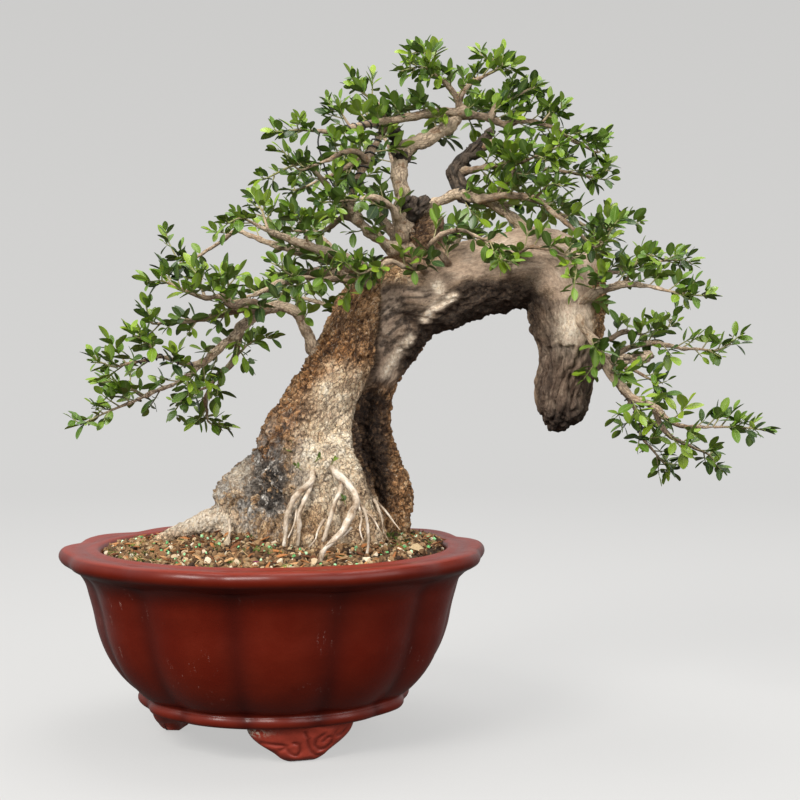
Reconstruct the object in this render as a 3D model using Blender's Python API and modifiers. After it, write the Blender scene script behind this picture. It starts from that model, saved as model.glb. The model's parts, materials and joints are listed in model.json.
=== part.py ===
# Olive bonsai in a lobed, footed clay pot.
#
# Metres, +Z up, -Y towards the viewer of the front. Lengths below are millimetres until they
# reach Blender, where MM turns them into metres.
#
# The tree is laid out on an upright drawing board that stands through the pot's axis, seen from
# the front at arm's length. A point is (across from the board's left edge, down from its top
# edge, depth behind the board), and is carried along the line of sight to its depth.

import math
import random

import bmesh
import bpy
import numpy as np
from mathutils import Matrix, Vector
from mathutils.bvhtree import BVHTree

MM = 0.001
CLEARANCE = 0.3
WELD = 0.00001

# The drawing board and the eye that looks at it
BOARD_LEFT = -275.0
BOARD_TOP = 733.0
EYE_ACROSS = 400.0
EYE_DOWN = 363.0
EYE_DISTANCE = 1500.0

# The pot's axis, seen from the middle of the whole plant's footprint
POT_AXIS_X = -135.0
POT_AXIS_Y = 0.0

# Pot
LOBES = 12
LOBE_STEPS = 4
LOBE_PHASE = math.radians(-7.0)
RIM_RADIUS = 210.0
MOUTH_RADIUS = 171.0
RIM_TOP = 189.0
FLOOR_TOP = 52.0
BASE_Z = 34.0
DRAIN_RADIUS = 17.0
FOOT_ANGLES = (-72.0, 48.0, 168.0)
FOOT_RADIUS = 110.0
FOOT_THICKNESS = 28.0
FOOT_TOP = 38.0
FOOT_TUCK = 10.0
LOBE_DEPTH_BODY = 5.5
LOBE_DEPTH_RIM = 5.0
LOBE_SHARPNESS = 0.75
LOBE_FADE = 40.0
SMOOTH_INSIDE = 4.0
RIM_DROP = 20.0

# Half of a foot's outline: out from its middle, and height
FOOT_HALF = (
    (12, 0), (19, 3), (26, 8), (34, 13), (41, 18), (46, 23), (50, 29), (51, FOOT_TOP),
)

# The pot's inner wall from the floor up: radius and height
INNER_WALL = (
    (108.0, FLOOR_TOP), (134.0, 66.0), (150.0, 92.0), (160.0, 130.0), (MOUTH_RADIUS - 2, 180.0),
)

# The pot's outer wall from the mouth down to the base: radius and height
OUTER_WALL = (
    (MOUTH_RADIUS + 2, RIM_TOP), (RIM_RADIUS - 9, RIM_TOP - 1), (RIM_RADIUS - 1, RIM_TOP - 4),
    (RIM_RADIUS + 1, RIM_TOP - 9), (RIM_RADIUS - 4, RIM_TOP - 15), (196, RIM_TOP - RIM_DROP),
    (187, 158), (179, 130), (173, 104), (164, 82), (150, 62),
    (132, 46), (133.5, 42), (132, 36), (126, BASE_Z),
)

# Drain mesh
MESH_SIDE = 48.0
MESH_THICKNESS = 1.4
MESH_HOLES = 3
MESH_BAR = 3.0
MESH_MARGIN = 2.0

# Soil
SOIL_EDGE_Z = 184.0
MOUND_CENTRE = (30.0, 5.0)
MOUND_RADII = (125.0, 95.0)
MOUND_HEIGHT = 27.0
SOIL_STEPS = 30
SOIL_RINGS = 5
GRAIN_RELIEF = 2.2
SOIL_SETTLE = 3.0
SOIL_GAP = 0.5
ROOT_SLEEVE = 0.75

# The grains' two crossing waves: turn for each millimetre, how far it wanders, and the wander's turn
GRAIN_ACROSS = (0.31, 1.7, 0.23)
GRAIN_ALONG = (0.37, 1.3, 0.19)

# Tree
WOOD_VOXEL = 8.5
CORE_KEPT = 0.13
BODY_RESOLUTION = 4
SOFTEN_SHARE = 0.5
SOFTEN_ROUNDS = 2
THICK_LIMB = 6.2
ROOT_CUT_Z = 158.0
CUTTER_SIZE = Vector((600.0, 600.0, 300.0))
SEAT_LENGTH = 5.0
SEAT_RADIUS = 1.6
SEAT_RISE = 0.3
STEM_KNEE = 0.42
LONG_SPRAY = 50.0
STEM_TIP_RADIUS = 0.8
LEAF_LENGTH = (14.0, 20.0)
LEAF_WIDTH_SHARE = 0.42
LEAF_THICKNESS = 1.2
LEAF_SAG = 0.07
LEAF_REST = 0.4
LEAF_ROOT = 0.3
BLADE_BROADEST = 0.45
BLADE_RIDGE = 0.42
BLADE_ROOT = 0.2
PAIR_SPACING = 15.0
PAIR_LEAN = (40.0, 62.0)
PAIR_SPAN = (0.30, 0.92)
PAIR_TURN_DRIFT = 0.4
PAIR_LIFT = 0.35
TIP_LIFT = 0.3
TIP_OVERLAP = 1.2
TWIST = 0.8
SHORTEST_FLAT = 0.1
UP = Vector((0.0, 0.0, 1.0))

BARK = (0.36, 0.27, 0.19, 1.0)
CLAY = (0.36, 0.07, 0.035, 1.0)
SOIL_BROWN = (0.28, 0.19, 0.10, 1.0)
LEAF_GREEN = (0.12, 0.26, 0.04, 1.0)
MESH_BLACK = (0.03, 0.03, 0.03, 1.0)
BARK_ROUGH = 0.9
CLAY_ROUGH = 0.45
SOIL_ROUGH = 1.0
LEAF_ROUGH = 0.5
MESH_ROUGH = 0.6

# Stations of the trunk's bodies: across, down, depth, radius
BARK_TRUNK = (
    (300, 595, -4, 62), (302, 535, -4, 62), (304, 500, -6, 60), (305, 470, -8, 56),
    (309, 440, -10, 48), (322, 408, -12, 41), (338, 376, -12, 36), (352, 342, -10, 33),
    (366, 312, -6, 32), (384, 288, 0, 34),
)
LEFT_FLARE = (
    (312, 490, 5, 50), (268, 490, 6, 40), (244, 500, 6, 33), (226, 518, 4, 24), (206, 524, 0, 14),
    (172, 534, -4, 8), (150, 548, -6, 6),
)
LEFT_BASE = ((250, 590, 4, 40), (250, 540, 4, 38), (254, 500, 4, 30))
FRONT_FLARE = ((322, 450, -30, 30), (318, 490, -42, 34), (314, 530, -50, 37), (312, 590, -52, 38))
FRONT_RIDGE = ((340, 420, -30, 17), (350, 470, -40, 19), (362, 520, -46, 20), (366, 590, -48, 21))
BACK_FLARE = (
    (352, 372, 14, 34), (338, 440, 26, 36), (334, 490, 40, 38), (330, 540, 48, 42), (330, 590, 50, 42),
)
RIGHT_RIB = (
    (384, 590, 18, 30), (384, 520, 18, 29), (387, 492, 18, 27), (377, 462, 18, 24), (368, 430, 18, 24),
    (367, 398, 16, 26), (372, 370, 14, 30), (384, 345, 10, 34), (400, 318, 6, 38),
)
ARCH = (
    (372, 322, 4, 40), (396, 297, 4, 42), (426, 296, 4, 40), (455, 285, 4, 40), (490, 275, 4, 39),
    (523, 269, 2, 41), (548, 272, 0, 43), (563, 290, -4, 43), (568, 318, -8, 39), (569, 348, -8, 31),
    (566, 374, -6, 28), (561, 396, -4, 26), (559, 410, -4, 23),
)
KNOB = ((415, 262, 6, 24), (424, 238, 6, 22), (432, 222, 6, 16))
LEADER = (
    (404, 250, 0, 16), (403, 215, 0, 11), (402, 190, 0, 9.5), (400, 165, 0, 9.5), (406, 149, 0, 9.5),
    (424, 141, -2, 8.5), (442, 131, -4, 8.0), (456, 120, -4, 7.5), (464, 110, -4, 6.0),
)
TRUNK_BODIES = (
    BARK_TRUNK, LEFT_FLARE, LEFT_BASE, FRONT_FLARE, FRONT_RIDGE, BACK_FLARE, RIGHT_RIB, ARCH, KNOB,
)

# Wooden branches and bare surface roots: across, down, depth, radius
BRANCHES = {
    "leader": LEADER,
    "leader_stub": ((403, 158, 0, 7), (398, 146, 2, 6.5), (395, 133, 4, 5)),
    "charred_snag": (
        (466, 198, 0, 6), (458, 184, 5, 8), (455, 172, 8, 9), (466, 158, 8, 9), (480, 144, 6, 8),
        (493, 131, 4, 4),
    ),
    "low_left": (
        (332, 372, -6, 10), (315, 350, -22, 8), (304, 326, -35, 6.5), (296, 311, -45, 6),
        (283, 306, -48, 6), (265, 309, -51, 6), (252, 317, -54, 6), (239, 330, -58, 5.5),
        (226, 343, -61, 5), (205, 361, -64, 4.2), (192, 373, -67, 3.2), (166, 387, -74, 2.8),
        (143, 397, -77, 2.4), (124, 405, -80, 1.8),
    ),
    "low_left_hook": (
        (239, 332, -54, 4.5), (237, 346, -42, 4), (235, 357, -35, 3.8), (228, 367, -32, 3.4),
        (217, 376, -29, 3), (211, 386, -29, 2.6), (206, 399, -29, 2.2), (207, 411, -26, 1.7),
    ),
    "low_left_fork": (
        (205, 361, -67, 3.6), (190, 365, -80, 2.8), (174, 360, -93, 2.4), (158, 357, -102, 2.1),
        (141, 361, -109, 1.8), (127, 364, -115, 1.6),
    ),
    "shelf": (
        (268, 309, -54, 4.6), (248, 309, -64, 4.4), (229, 312, -74, 4), (201, 319, -83, 3.2),
        (178, 322, -90, 2.4), (163, 323, -96, 1.7),
    ),
    "shelf_upper": (
        (268, 308, -50, 4.2), (246, 302, -80, 4), (230, 305, -93, 3.8), (222, 297, -99, 3.2),
        (205, 298, -106, 2.6), (190, 293, -112, 2.1), (174, 286, -118, 1.6),
    ),
    "left_back": (
        (368, 284, 10, 8), (334, 272, 20, 6), (300, 277, 30, 5.2), (278, 284, 38, 4.4),
        (262, 292, 46, 3.2), (246, 297, 54, 1.8),
    ),
    "left_front": (
        (372, 284, -30, 5), (348, 281, -57, 3.4), (326, 279, -71, 2.8), (306, 277, -84, 1.8),
    ),
    "left_upper": (
        (388, 290, -10, 8), (362, 268, -22, 7), (332, 255, -32, 5.4), (309, 246, -42, 4.6),
        (284, 238, -51, 4), (268, 230, -61, 3), (255, 224, -67, 1.8),
    ),
    "left_upper_back": (
        (352, 268, 12, 6), (322, 258, 24, 5), (290, 249, 36, 4.2), (268, 242, 44, 3.8),
        (250, 236, 52, 3.2), (237, 231, 58, 2.8), (226, 238, 62, 2.4), (212, 247, 66, 2),
        (200, 255, 70, 1.6),
    ),
    "inner_broken": (
        (394, 250, -26, 7), (362, 224, -38, 5.6), (349, 207, -45, 5), (338, 196, -51, 4.6),
        (326, 184, -58, 3.6),
    ),
    "inner_rise": (
        (352, 212, -45, 4), (351, 198, -38, 4), (358, 181, -32, 4.4), (366, 163, -26, 4.4),
        (373, 147, -19, 4.2), (382, 132, -13, 4), (391, 120, -6, 4),
    ),
    "crown_shelf": (
        (464, 112, -6, 5.5), (440, 113, -13, 5.2), (418, 116, -16, 5), (398, 120, -16, 4.6),
        (386, 122, -16, 4),
    ),
    "crown_left": (
        (390, 121, -16, 4), (371, 124, -29, 3.8), (351, 128, -42, 3.4), (333, 132, -51, 2.8),
        (317, 131, -61, 2),
    ),
    "crown_left_up": ((388, 120, -6, 3.4), (378, 104, -2, 2.6), (370, 98, 2, 1.8)),
    "inner_left": (
        (367, 160, -29, 3.6), (354, 151, -48, 3), (342, 153, -61, 2.8), (328, 160, -74, 2.4),
        (314, 165, -83, 1.6),
    ),
    "inner_left_back": (
        (373, 149, -18, 3.6), (352, 164, 14, 3), (334, 174, 32, 2.4), (316, 182, 44, 1.6),
    ),
    "hub_left": (
        (402, 238, -14, 6), (396, 215, -28, 4.6), (386, 203, -41, 4), (371, 198, -51, 3.2),
        (352, 200, -65, 1.8),
    ),
    "hub_left_low": (
        (398, 248, -10, 6), (386, 224, 4, 5), (376, 211, 16, 4.2), (371, 196, 26, 3.4),
        (360, 184, 36, 1.8),
    ),
    "left_drop": (
        (360, 222, -42, 4), (345, 216, -32, 3.4), (333, 225, -22, 3), (321, 232, -13, 2.4),
        (304, 231, -3, 1.7),
    ),
    "crown_top": (
        (462, 112, -4, 4.6), (456, 96, -8, 3.8), (444, 82, -12, 3.2), (432, 72, -16, 2.4),
        (429, 62, -18, 1.6),
    ),
    "crown_top_right": ((458, 100, -6, 3.6), (470, 84, 2, 2.8), (484, 76, 8, 2.2), (496, 70, 12, 1.6)),
    "crown_right": (
        (462, 114, -2, 5), (484, 116, 6, 4.6), (504, 124, 12, 4.4), (522, 120, 16, 3.6),
        (541, 124, 20, 3), (556, 129, 24, 2.6), (572, 140, 28, 2.1), (586, 147, 30, 1.6),
    ),
    "crown_right_up": ((490, 118, 6, 3.6), (498, 104, 12, 3), (512, 98, 20, 2.4), (524, 92, 26, 1.7)),
    "hub_right": (
        (424, 226, 6, 9), (434, 204, 4, 7), (456, 195, 0, 6.6), (478, 199, -4, 6.4),
        (495, 203, -6, 6.2), (508, 214, -6, 6.4), (520, 224, -4, 7), (532, 240, 0, 8),
    ),
    "snag_branch": (
        (484, 146, 6, 4.6), (498, 143, -10, 4), (508, 151, -22, 3.6), (513, 164, -32, 3),
        (514, 177, -42, 2.2),
    ),
    "right_upper": (
        (462, 172, 6, 4.6), (484, 167, -13, 3.4), (507, 165, -29, 2.8), (526, 160, -42, 2.2),
        (538, 155, -51, 1.6),
    ),
    "right_mid": (
        (488, 203, 4, 4.4), (514, 178, 10, 3.4), (541, 169, 16, 2.8), (562, 171, 20, 2.4),
        (582, 175, 24, 1.9),
    ),
    "right_long": (
        (478, 200, -10, 4.6), (508, 195, -29, 3.8), (534, 199, -42, 3.4), (552, 212, -51, 3),
        (568, 224, -58, 2.6), (582, 236, -64, 1.8),
    ),
    "right_long_back": (
        (502, 207, -5, 4.4), (512, 202, 8, 4), (530, 196, 18, 3.4), (548, 206, 30, 3),
        (566, 216, 40, 2.5), (586, 226, 48, 1.7),
    ),
    "shoulder": (
        (566, 282, -4, 6.5), (584, 262, -6, 5), (592, 252, -8, 3.6), (600, 241, -10, 2.6),
        (607, 231, -12, 1.7),
    ),
    "right_shelf": (
        (572, 306, -34, 7), (588, 298, -48, 5.6), (604, 290, -58, 4.8), (624, 284, -68, 4),
        (645, 286, -76, 3), (664, 290, -84, 1.8),
    ),
    "right_shelf_back": ((590, 282, 10, 5), (612, 272, 20, 4), (634, 264, 28, 3), (654, 262, 34, 1.8)),
    "cascade": (
        (574, 308, -38, 6), (585, 328, -46, 5.2), (596, 344, -50, 5), (603, 361, -52, 4.8),
        (614, 378, -54, 4.6), (628, 393, -56, 4.4), (641, 402, -58, 4.2), (656, 408, -62, 3.8),
        (664, 416, -65, 3.2), (675, 424, -69, 2.6), (696, 427, -73, 2), (716, 427, -76, 1.6),
    ),
    "cascade_lower": (
        (656, 410, -61, 3.4), (660, 424, -56, 3), (669, 435, -50, 2.8), (682, 443, -44, 2.2),
        (696, 449, -40, 1.6),
    ),
    "cascade_inner": (
        (617, 383, -53, 3), (631, 404, -44, 2.3), (640, 418, -36, 2.1), (641, 436, -30, 1.9),
        (651, 448, -26, 1.5),
    ),
    "right_snag": ((588, 362, 4, 8), (612, 361, 4, 6.6), (632, 359, 4, 5.6), (649, 355, 4, 4.4)),
    "right_bough": (
        (590, 352, 12, 6), (606, 360, 18, 4.4), (630, 348, 18, 3.8), (653, 343, 16, 3.2),
        (668, 345, 14, 2.8), (682, 348, 12, 2.3), (698, 349, 10, 1.7),
    ),
    "right_thin": (
        (574, 338, 2, 5.5), (592, 341, 16, 4), (606, 340, 24, 3), (626, 332, 28, 2.4),
        (640, 334, 30, 1.7),
    ),
    "right_drop": ((604, 359, 6, 3.4), (618, 366, -6, 2.6), (636, 371, -12, 2.1), (646, 377, -14, 1.6)),
    "arch_front": (
        (452, 276, -14, 5), (446, 260, -34, 4.4), (431, 244, -50, 3.2), (446, 233, -62, 2.8),
        (462, 230, -70, 2.4), (478, 237, -76, 1.7),
    ),
    "arch_front_left": (
        (430, 280, -18, 5), (420, 268, -38, 4), (408, 268, -50, 3), (390, 261, -60, 2.6),
        (374, 268, -68, 1.8),
    ),
    "arch_front_right": (
        (514, 268, -20, 5), (518, 258, -40, 4), (526, 248, -52, 2.8), (542, 247, -62, 2.2),
        (556, 252, -70, 1.6),
    ),
    "arch_back": (
        (454, 276, 16, 7), (452, 260, 38, 6), (456, 244, 60, 4.6), (462, 232, 84, 3.6),
        (474, 222, 106, 2.4), (486, 212, 122, 1.7),
    ),
    "arch_back_right": (
        (532, 268, 16, 6.5), (536, 260, 38, 5.4), (548, 254, 62, 4.2), (566, 248, 88, 3),
        (584, 246, 108, 1.8),
    ),
    "trunk_back": (
        (378, 300, 34, 7), (362, 280, 62, 5.2), (346, 262, 90, 4), (334, 248, 114, 2.8),
        (322, 238, 130, 1.8),
    ),
    "trunk_back_low": (
        (360, 334, 10, 7), (362, 330, 34, 6), (348, 318, 60, 4.6), (330, 306, 86, 3.4),
        (310, 300, 104, 2.2), (296, 298, 114, 1.6),
    ),
    "leader_back": (
        (402, 186, 6, 5.4), (396, 170, 36, 4.4), (392, 156, 64, 3.4), (388, 144, 88, 2.4),
        (382, 134, 102, 1.7),
    ),
    "leader_back_right": ((428, 140, 4, 5), (440, 128, 32, 4), (456, 118, 60, 3), (472, 112, 82, 1.8)),
    "root_left_outer": (
        (336, 466, -56, 4.4), (311, 482, -80, 4.2), (297, 494, -84, 4), (288, 512, -86, 3.6),
        (284, 545, -86, 2.6),
    ),
    "root_left_inner": (
        (322, 466, -48, 4.4), (309, 490, -82, 3.4), (301, 508, -88, 3), (298, 545, -88, 2.4),
    ),
    "root_right_outer": (
        (326, 466, -56, 5), (340, 476, -82, 4.8), (351, 487, -90, 4.8), (356, 502, -96, 4.6),
        (349, 518, -104, 4.2), (340, 535, -112, 3.8), (326, 548, -120, 3.4), (318, 590, -122, 3),
    ),
    "root_right_inner": (
        (336, 462, -48, 4.4), (341, 486, -84, 3.4), (333, 508, -94, 3), (324, 540, -98, 2.4),
    ),
    "root_right_fine": (
        (356, 500, -92, 2.4), (364, 510, -96, 2), (368, 530, -98, 1.8), (367, 560, -98, 1.6),
    ),
}

# Leafy sprays: the branch that each grows from, the station there, and the tip on the board.
# The last station is the branch's end, and any other is a side seat.
SPRAYS = {
    "low_tip": ("low_left", 13, (80, 425, -92)),
    "low_tip_top": ("low_left", 12, (102, 382, -66)),
    "fork_tip": ("low_left_fork", 5, (96, 360, -126)),
    "fork_top": ("low_left_fork", 3, (134, 336, -120)),
    "hang_left": ("low_left_hook", 5, (174, 412, -30)),
    "hook_tip": ("low_left_hook", 7, (226, 427, -24)),
    "hook_side": ("low_left_hook", 2, (268, 337, -32)),
    "shelf_tip": ("shelf", 5, (146, 306, -106)),
    "shelf_high_tip": ("shelf_upper", 6, (148, 282, -132)),
    "shelf_high_mid": ("shelf_upper", 4, (192, 268, -96)),
    "shelf_high_in": ("shelf_upper", 2, (226, 272, -124)),
    "left_back_tip": ("left_back", 5, (218, 284, 84)),
    "left_front_tip": ("left_front", 3, (276, 264, -106)),
    "left_upper_tip": ("left_upper", 6, (226, 224, -86)),
    "left_upper_top": ("left_upper", 5, (254, 198, -40)),
    "left_upper_mid": ("left_upper", 3, (294, 212, -76)),
    "left_lone_tip": ("left_upper_back", 8, (166, 238, 84)),
    "broken_twig": ("inner_broken", 4, (262, 180, -78)),
    "crown_left_tip": ("crown_left", 4, (276, 132, -84)),
    "crown_left_mid": ("crown_left", 2, (330, 106, -40)),
    "crown_left_peak": ("crown_left_up", 2, (352, 78, 10)),
    "inner_left_tip": ("inner_left", 4, (282, 150, -104)),
    "inner_back_tip": ("inner_left_back", 3, (290, 190, 74)),
    "hub_left_tip": ("hub_left", 4, (318, 202, -94)),
    "hub_back_tip": ("hub_left_low", 4, (344, 156, 66)),
    "left_drop_tip": ("left_drop", 4, (270, 222, 20)),
    "crown_top_tip": ("crown_top", 4, (410, 54, -30)),
    "crown_top_mid": ("crown_top", 2, (404, 70, -58)),
    "crown_right_peak": ("crown_top_right", 3, (480, 56, 30)),
    "crown_right_top": ("crown_right_up", 3, (538, 88, 44)),
    "crown_right_tip": ("crown_right", 7, (606, 134, 44)),
    "crown_right_mid": ("crown_right", 4, (562, 108, 6)),
    "right_upper_tip": ("right_upper", 4, (560, 146, -76)),
    "right_mid_tip": ("right_mid", 4, (610, 164, 44)),
    "right_long_tip": ("right_long", 5, (618, 220, -84)),
    "right_long_mid": ("right_long", 2, (564, 186, -84)),
    "right_back_tip": ("right_long_back", 5, (612, 214, 74)),
    "shoulder_tip": ("shoulder", 4, (636, 222, -10)),
    "right_shelf_tip": ("right_shelf", 5, (706, 296, -104)),
    "right_shelf_top": ("right_shelf", 3, (652, 254, -104)),
    "shelf_back_tip": ("right_shelf_back", 3, (690, 262, 60)),
    "bough_tip": ("right_bough", 6, (740, 336, 4)),
    "thin_tip": ("right_thin", 4, (676, 314, 40)),
    "drop_tip": ("right_drop", 3, (664, 396, -20)),
    "cascade_tip": ("cascade", 11, (764, 430, -96)),
    "cascade_low_tip": ("cascade_lower", 4, (716, 466, -24)),
    "cascade_in_tip": ("cascade_inner", 4, (672, 472, -8)),
    "arch_front_tip": ("arch_front", 5, (504, 262, -96)),
    "arch_front_left_tip": ("arch_front_left", 4, (344, 262, -90)),
    "arch_front_right_tip": ("arch_front_right", 4, (574, 288, -96)),
    "arch_back_tip": ("arch_back", 5, (506, 180, 158)),
    "arch_back_right_tip": ("arch_back_right", 4, (616, 236, 138)),
    "trunk_back_tip": ("trunk_back", 4, (300, 216, 160)),
    "trunk_back_low_tip": ("trunk_back_low", 5, (258, 290, 134)),
    "leader_back_tip": ("leader_back", 4, (362, 110, 134)),
    "leader_back_right_tip": ("leader_back_right", 3, (504, 98, 116)),
}


def board(across, down, depth):
    """A point of the board at this depth, in millimetres from the pot's axis."""
    spread = (EYE_DISTANCE + depth) / EYE_DISTANCE
    eye_x = BOARD_LEFT + EYE_ACROSS
    eye_z = BOARD_TOP - EYE_DOWN
    x = eye_x + (across - EYE_ACROSS) * spread
    z = eye_z - (down - EYE_DOWN) * spread
    return Vector((x, depth, z))


def stations(rows):
    """The board's rows as (place, radius) pairs."""
    return [(board(across, down, depth), radius) for across, down, depth, radius in rows]


def clear_scene():
    for obj in list(bpy.data.objects):
        bpy.data.objects.remove(obj)


def new_collection(name, hidden=False):
    collection = bpy.data.collections.new(name)
    bpy.context.scene.collection.children.link(collection)
    collection.hide_render = hidden
    return collection


def material(name, colour, roughness):
    made = bpy.data.materials.new(name)
    made.use_nodes = True
    shader = made.node_tree.nodes["Principled BSDF"]
    shader.inputs["Base Color"].default_value = colour
    shader.inputs["Roughness"].default_value = roughness
    shader.inputs["Metallic"].default_value = 0.0
    return made


def mesh_object(name, mesh, collection):
    obj = bpy.data.objects.new(name, mesh)
    collection.objects.link(obj)
    return obj


def faces_outward(mesh, weld=0.0):
    """Turns a closed mesh's faces outwards, after welding its points where weld is given."""
    work = bmesh.new()
    work.from_mesh(mesh)
    if weld:
        bmesh.ops.remove_doubles(work, verts=work.verts, dist=weld)
    bmesh.ops.recalc_face_normals(work, faces=work.faces)
    work.to_mesh(mesh)
    work.free()


def as_mesh(obj, collection, name):
    """A new object that holds what obj's modifiers or curve make, welded, in place of obj."""
    bpy.context.view_layer.update()
    graph = bpy.context.evaluated_depsgraph_get()
    mesh = bpy.data.meshes.new_from_object(obj.evaluated_get(graph))
    mesh.transform(obj.matrix_world)
    bpy.data.objects.remove(obj)
    faces_outward(mesh, WELD)
    return mesh_object(name, mesh, collection)


def tube(name, pairs, resolution, collection):
    """A round tapering tube through (place, radius) pairs, as a closed mesh."""
    curve = bpy.data.curves.new(name, "CURVE")
    curve.dimensions = "3D"
    curve.bevel_depth = MM
    curve.bevel_resolution = resolution
    curve.use_fill_caps = True
    spline = curve.splines.new("POLY")
    spline.points.add(len(pairs) - 1)
    for point, (place, radius) in zip(spline.points, pairs):
        point.co = (*(place * MM), 1.0)
        point.radius = radius
    obj = mesh_object(name + "_curve", curve, collection)
    return as_mesh(obj, collection, name)


def joined(base, helpers, operation, solver="EXACT"):
    """Applies one Boolean of the whole helpers collection to base, and removes what it used."""
    modifier = base.modifiers.new("join", "BOOLEAN")
    modifier.operand_type = "COLLECTION"
    modifier.collection = helpers
    modifier.operation = operation
    modifier.solver = solver
    bpy.context.view_layer.update()
    graph = bpy.context.evaluated_depsgraph_get()
    mesh = bpy.data.meshes.new_from_object(base.evaluated_get(graph))
    base.modifiers.clear()
    base.data = mesh
    for obj in list(helpers.objects):
        bpy.data.objects.remove(obj)
    bpy.data.collections.remove(helpers)
    return base


def turned(name, profile, steps, collection):
    """A profile of (radius, height) turned round Z. A closed one ends where it starts."""
    mesh = bpy.data.meshes.new(name)
    points = [(radius * MM, 0.0, height * MM) for radius, height in profile]
    mesh.from_pydata(points, [(i, i + 1) for i in range(len(points) - 1)], [])
    obj = mesh_object(name + "_profile", mesh, collection)
    screw = obj.modifiers.new("turn", "SCREW")
    screw.axis = "Z"
    screw.angle = math.tau
    screw.steps = steps
    screw.render_steps = steps
    screw.use_merge_vertices = True
    screw.merge_threshold = WELD
    return as_mesh(obj, collection, name)


def lobe_wave(angle):
    """0 in the crease between two lobes, 1 on a lobe's crown."""
    return abs(math.sin(LOBES * (angle - LOBE_PHASE) / 2)) ** LOBE_SHARPNESS


def inner_radius(height):
    """The inner wall's radius at this height, in millimetres."""
    radii = [radius for radius, _ in INNER_WALL]
    heights = [level for _, level in INNER_WALL]
    return float(np.interp(height, heights, radii))


def lobe_depth(height, radius):
    """How deep the creases are here, in millimetres. The inner wall, the mouth and the bore have none."""
    if radius < inner_radius(height) + SMOOTH_INSIDE:
        return 0.0
    if height > RIM_TOP - RIM_DROP:
        return LOBE_DEPTH_RIM * min(1.0, (radius - MOUTH_RADIUS) / RIM_DROP)
    fade = min(1.0, (height - BASE_Z) / LOBE_FADE)
    return LOBE_DEPTH_RIM + (LOBE_DEPTH_BODY - LOBE_DEPTH_RIM) * max(0.0, fade)


def pot_profile():
    """The pot's closed outline: down the outside to the drain, through it, and up the inside."""
    drain = [(DRAIN_RADIUS, BASE_Z), (DRAIN_RADIUS, FLOOR_TOP)]
    ring = list(OUTER_WALL) + drain + list(INNER_WALL)
    return ring + ring[:1]


def foot(name, angle, collection):
    """A cloud-shaped foot: a scalloped outline given thickness, then bent round the pot's base."""
    outline = list(FOOT_HALF) + [(-along, height) for along, height in reversed(FOOT_HALF)]
    curve = bpy.data.curves.new(name, "CURVE")
    curve.dimensions = "2D"
    curve.fill_mode = "BOTH"
    curve.extrude = FOOT_THICKNESS / 2 * MM
    spline = curve.splines.new("POLY")
    spline.points.add(len(outline) - 1)
    for point, (along, height) in zip(spline.points, outline):
        point.co = (along * MM, height * MM, 0.0, 1.0)
    spline.use_cyclic_u = True
    obj = as_mesh(mesh_object(name + "_curve", curve, collection), collection, name)
    for vertex in obj.data.vertices:
        along, height, out = vertex.co / MM
        lean = -FOOT_TUCK * (1 - height / FOOT_TOP) if out > 0 else 0.0
        turn = math.radians(angle) + along / FOOT_RADIUS
        reach = FOOT_RADIUS + out + lean
        vertex.co = Vector((reach * math.cos(turn), reach * math.sin(turn), height)) * MM
    faces_outward(obj.data)
    return obj


def make_pot(collection):
    pot = turned("pot", pot_profile(), LOBES * LOBE_STEPS, collection)
    for vertex in pot.data.vertices:
        x, y, height = vertex.co / MM
        radius = math.hypot(x, y)
        depth = lobe_depth(height, radius)
        share = 1 - depth * (1 - lobe_wave(math.atan2(y, x))) / radius
        vertex.co = Vector((x * share, y * share, height)) * MM
    feet = new_collection("feet")
    for number, angle in enumerate(FOOT_ANGLES):
        foot(f"foot_{number}", angle, feet)
    return joined(pot, feet, "UNION")


def make_drain_mesh(collection):
    """A square of plastic mesh that keeps the soil off the drain hole."""
    bpy.ops.mesh.primitive_cube_add(size=1, location=(0, 0, 0))
    plate = bpy.context.active_object
    level = FLOOR_TOP + CLEARANCE + MESH_THICKNESS / 2
    plate.scale = (MESH_SIDE * MM, MESH_SIDE * MM, MESH_THICKNESS * MM)
    plate.location = (0, 0, level * MM)
    plate = as_mesh(plate, collection, "drain_mesh")
    holes = new_collection("mesh_holes")
    pitch = (MESH_SIDE - MESH_BAR) / MESH_HOLES
    for row in range(MESH_HOLES):
        for column in range(MESH_HOLES):
            x = (row - (MESH_HOLES - 1) / 2) * pitch
            y = (column - (MESH_HOLES - 1) / 2) * pitch
            bpy.ops.mesh.primitive_cube_add(size=1, location=(x * MM, y * MM, level * MM))
            cutter = bpy.context.active_object
            side = (pitch - MESH_BAR) * MM
            cutter.scale = (side, side, 3 * MESH_THICKNESS * MM)
            as_mesh(cutter, holes, f"mesh_hole_{row}_{column}")
    return joined(plate, holes, "DIFFERENCE")


def wave(here, there, row):
    """A wave along one direction that wanders with the place along the other."""
    turn, wander, wander_turn = row
    return math.sin(here * turn + wander * math.sin(there * wander_turn))


def soil_height(x, y):
    """The soil's surface: level at the wall, mounded under the tree, and rough with grains."""
    across = (x - MOUND_CENTRE[0]) / MOUND_RADII[0]
    along = (y - MOUND_CENTRE[1]) / MOUND_RADII[1]
    mound = MOUND_HEIGHT * math.exp(-(across * across + along * along))
    grain = wave(x, y, GRAIN_ACROSS) * wave(y, x, GRAIN_ALONG)
    return SOIL_EDGE_Z + mound + GRAIN_RELIEF * grain


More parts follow.
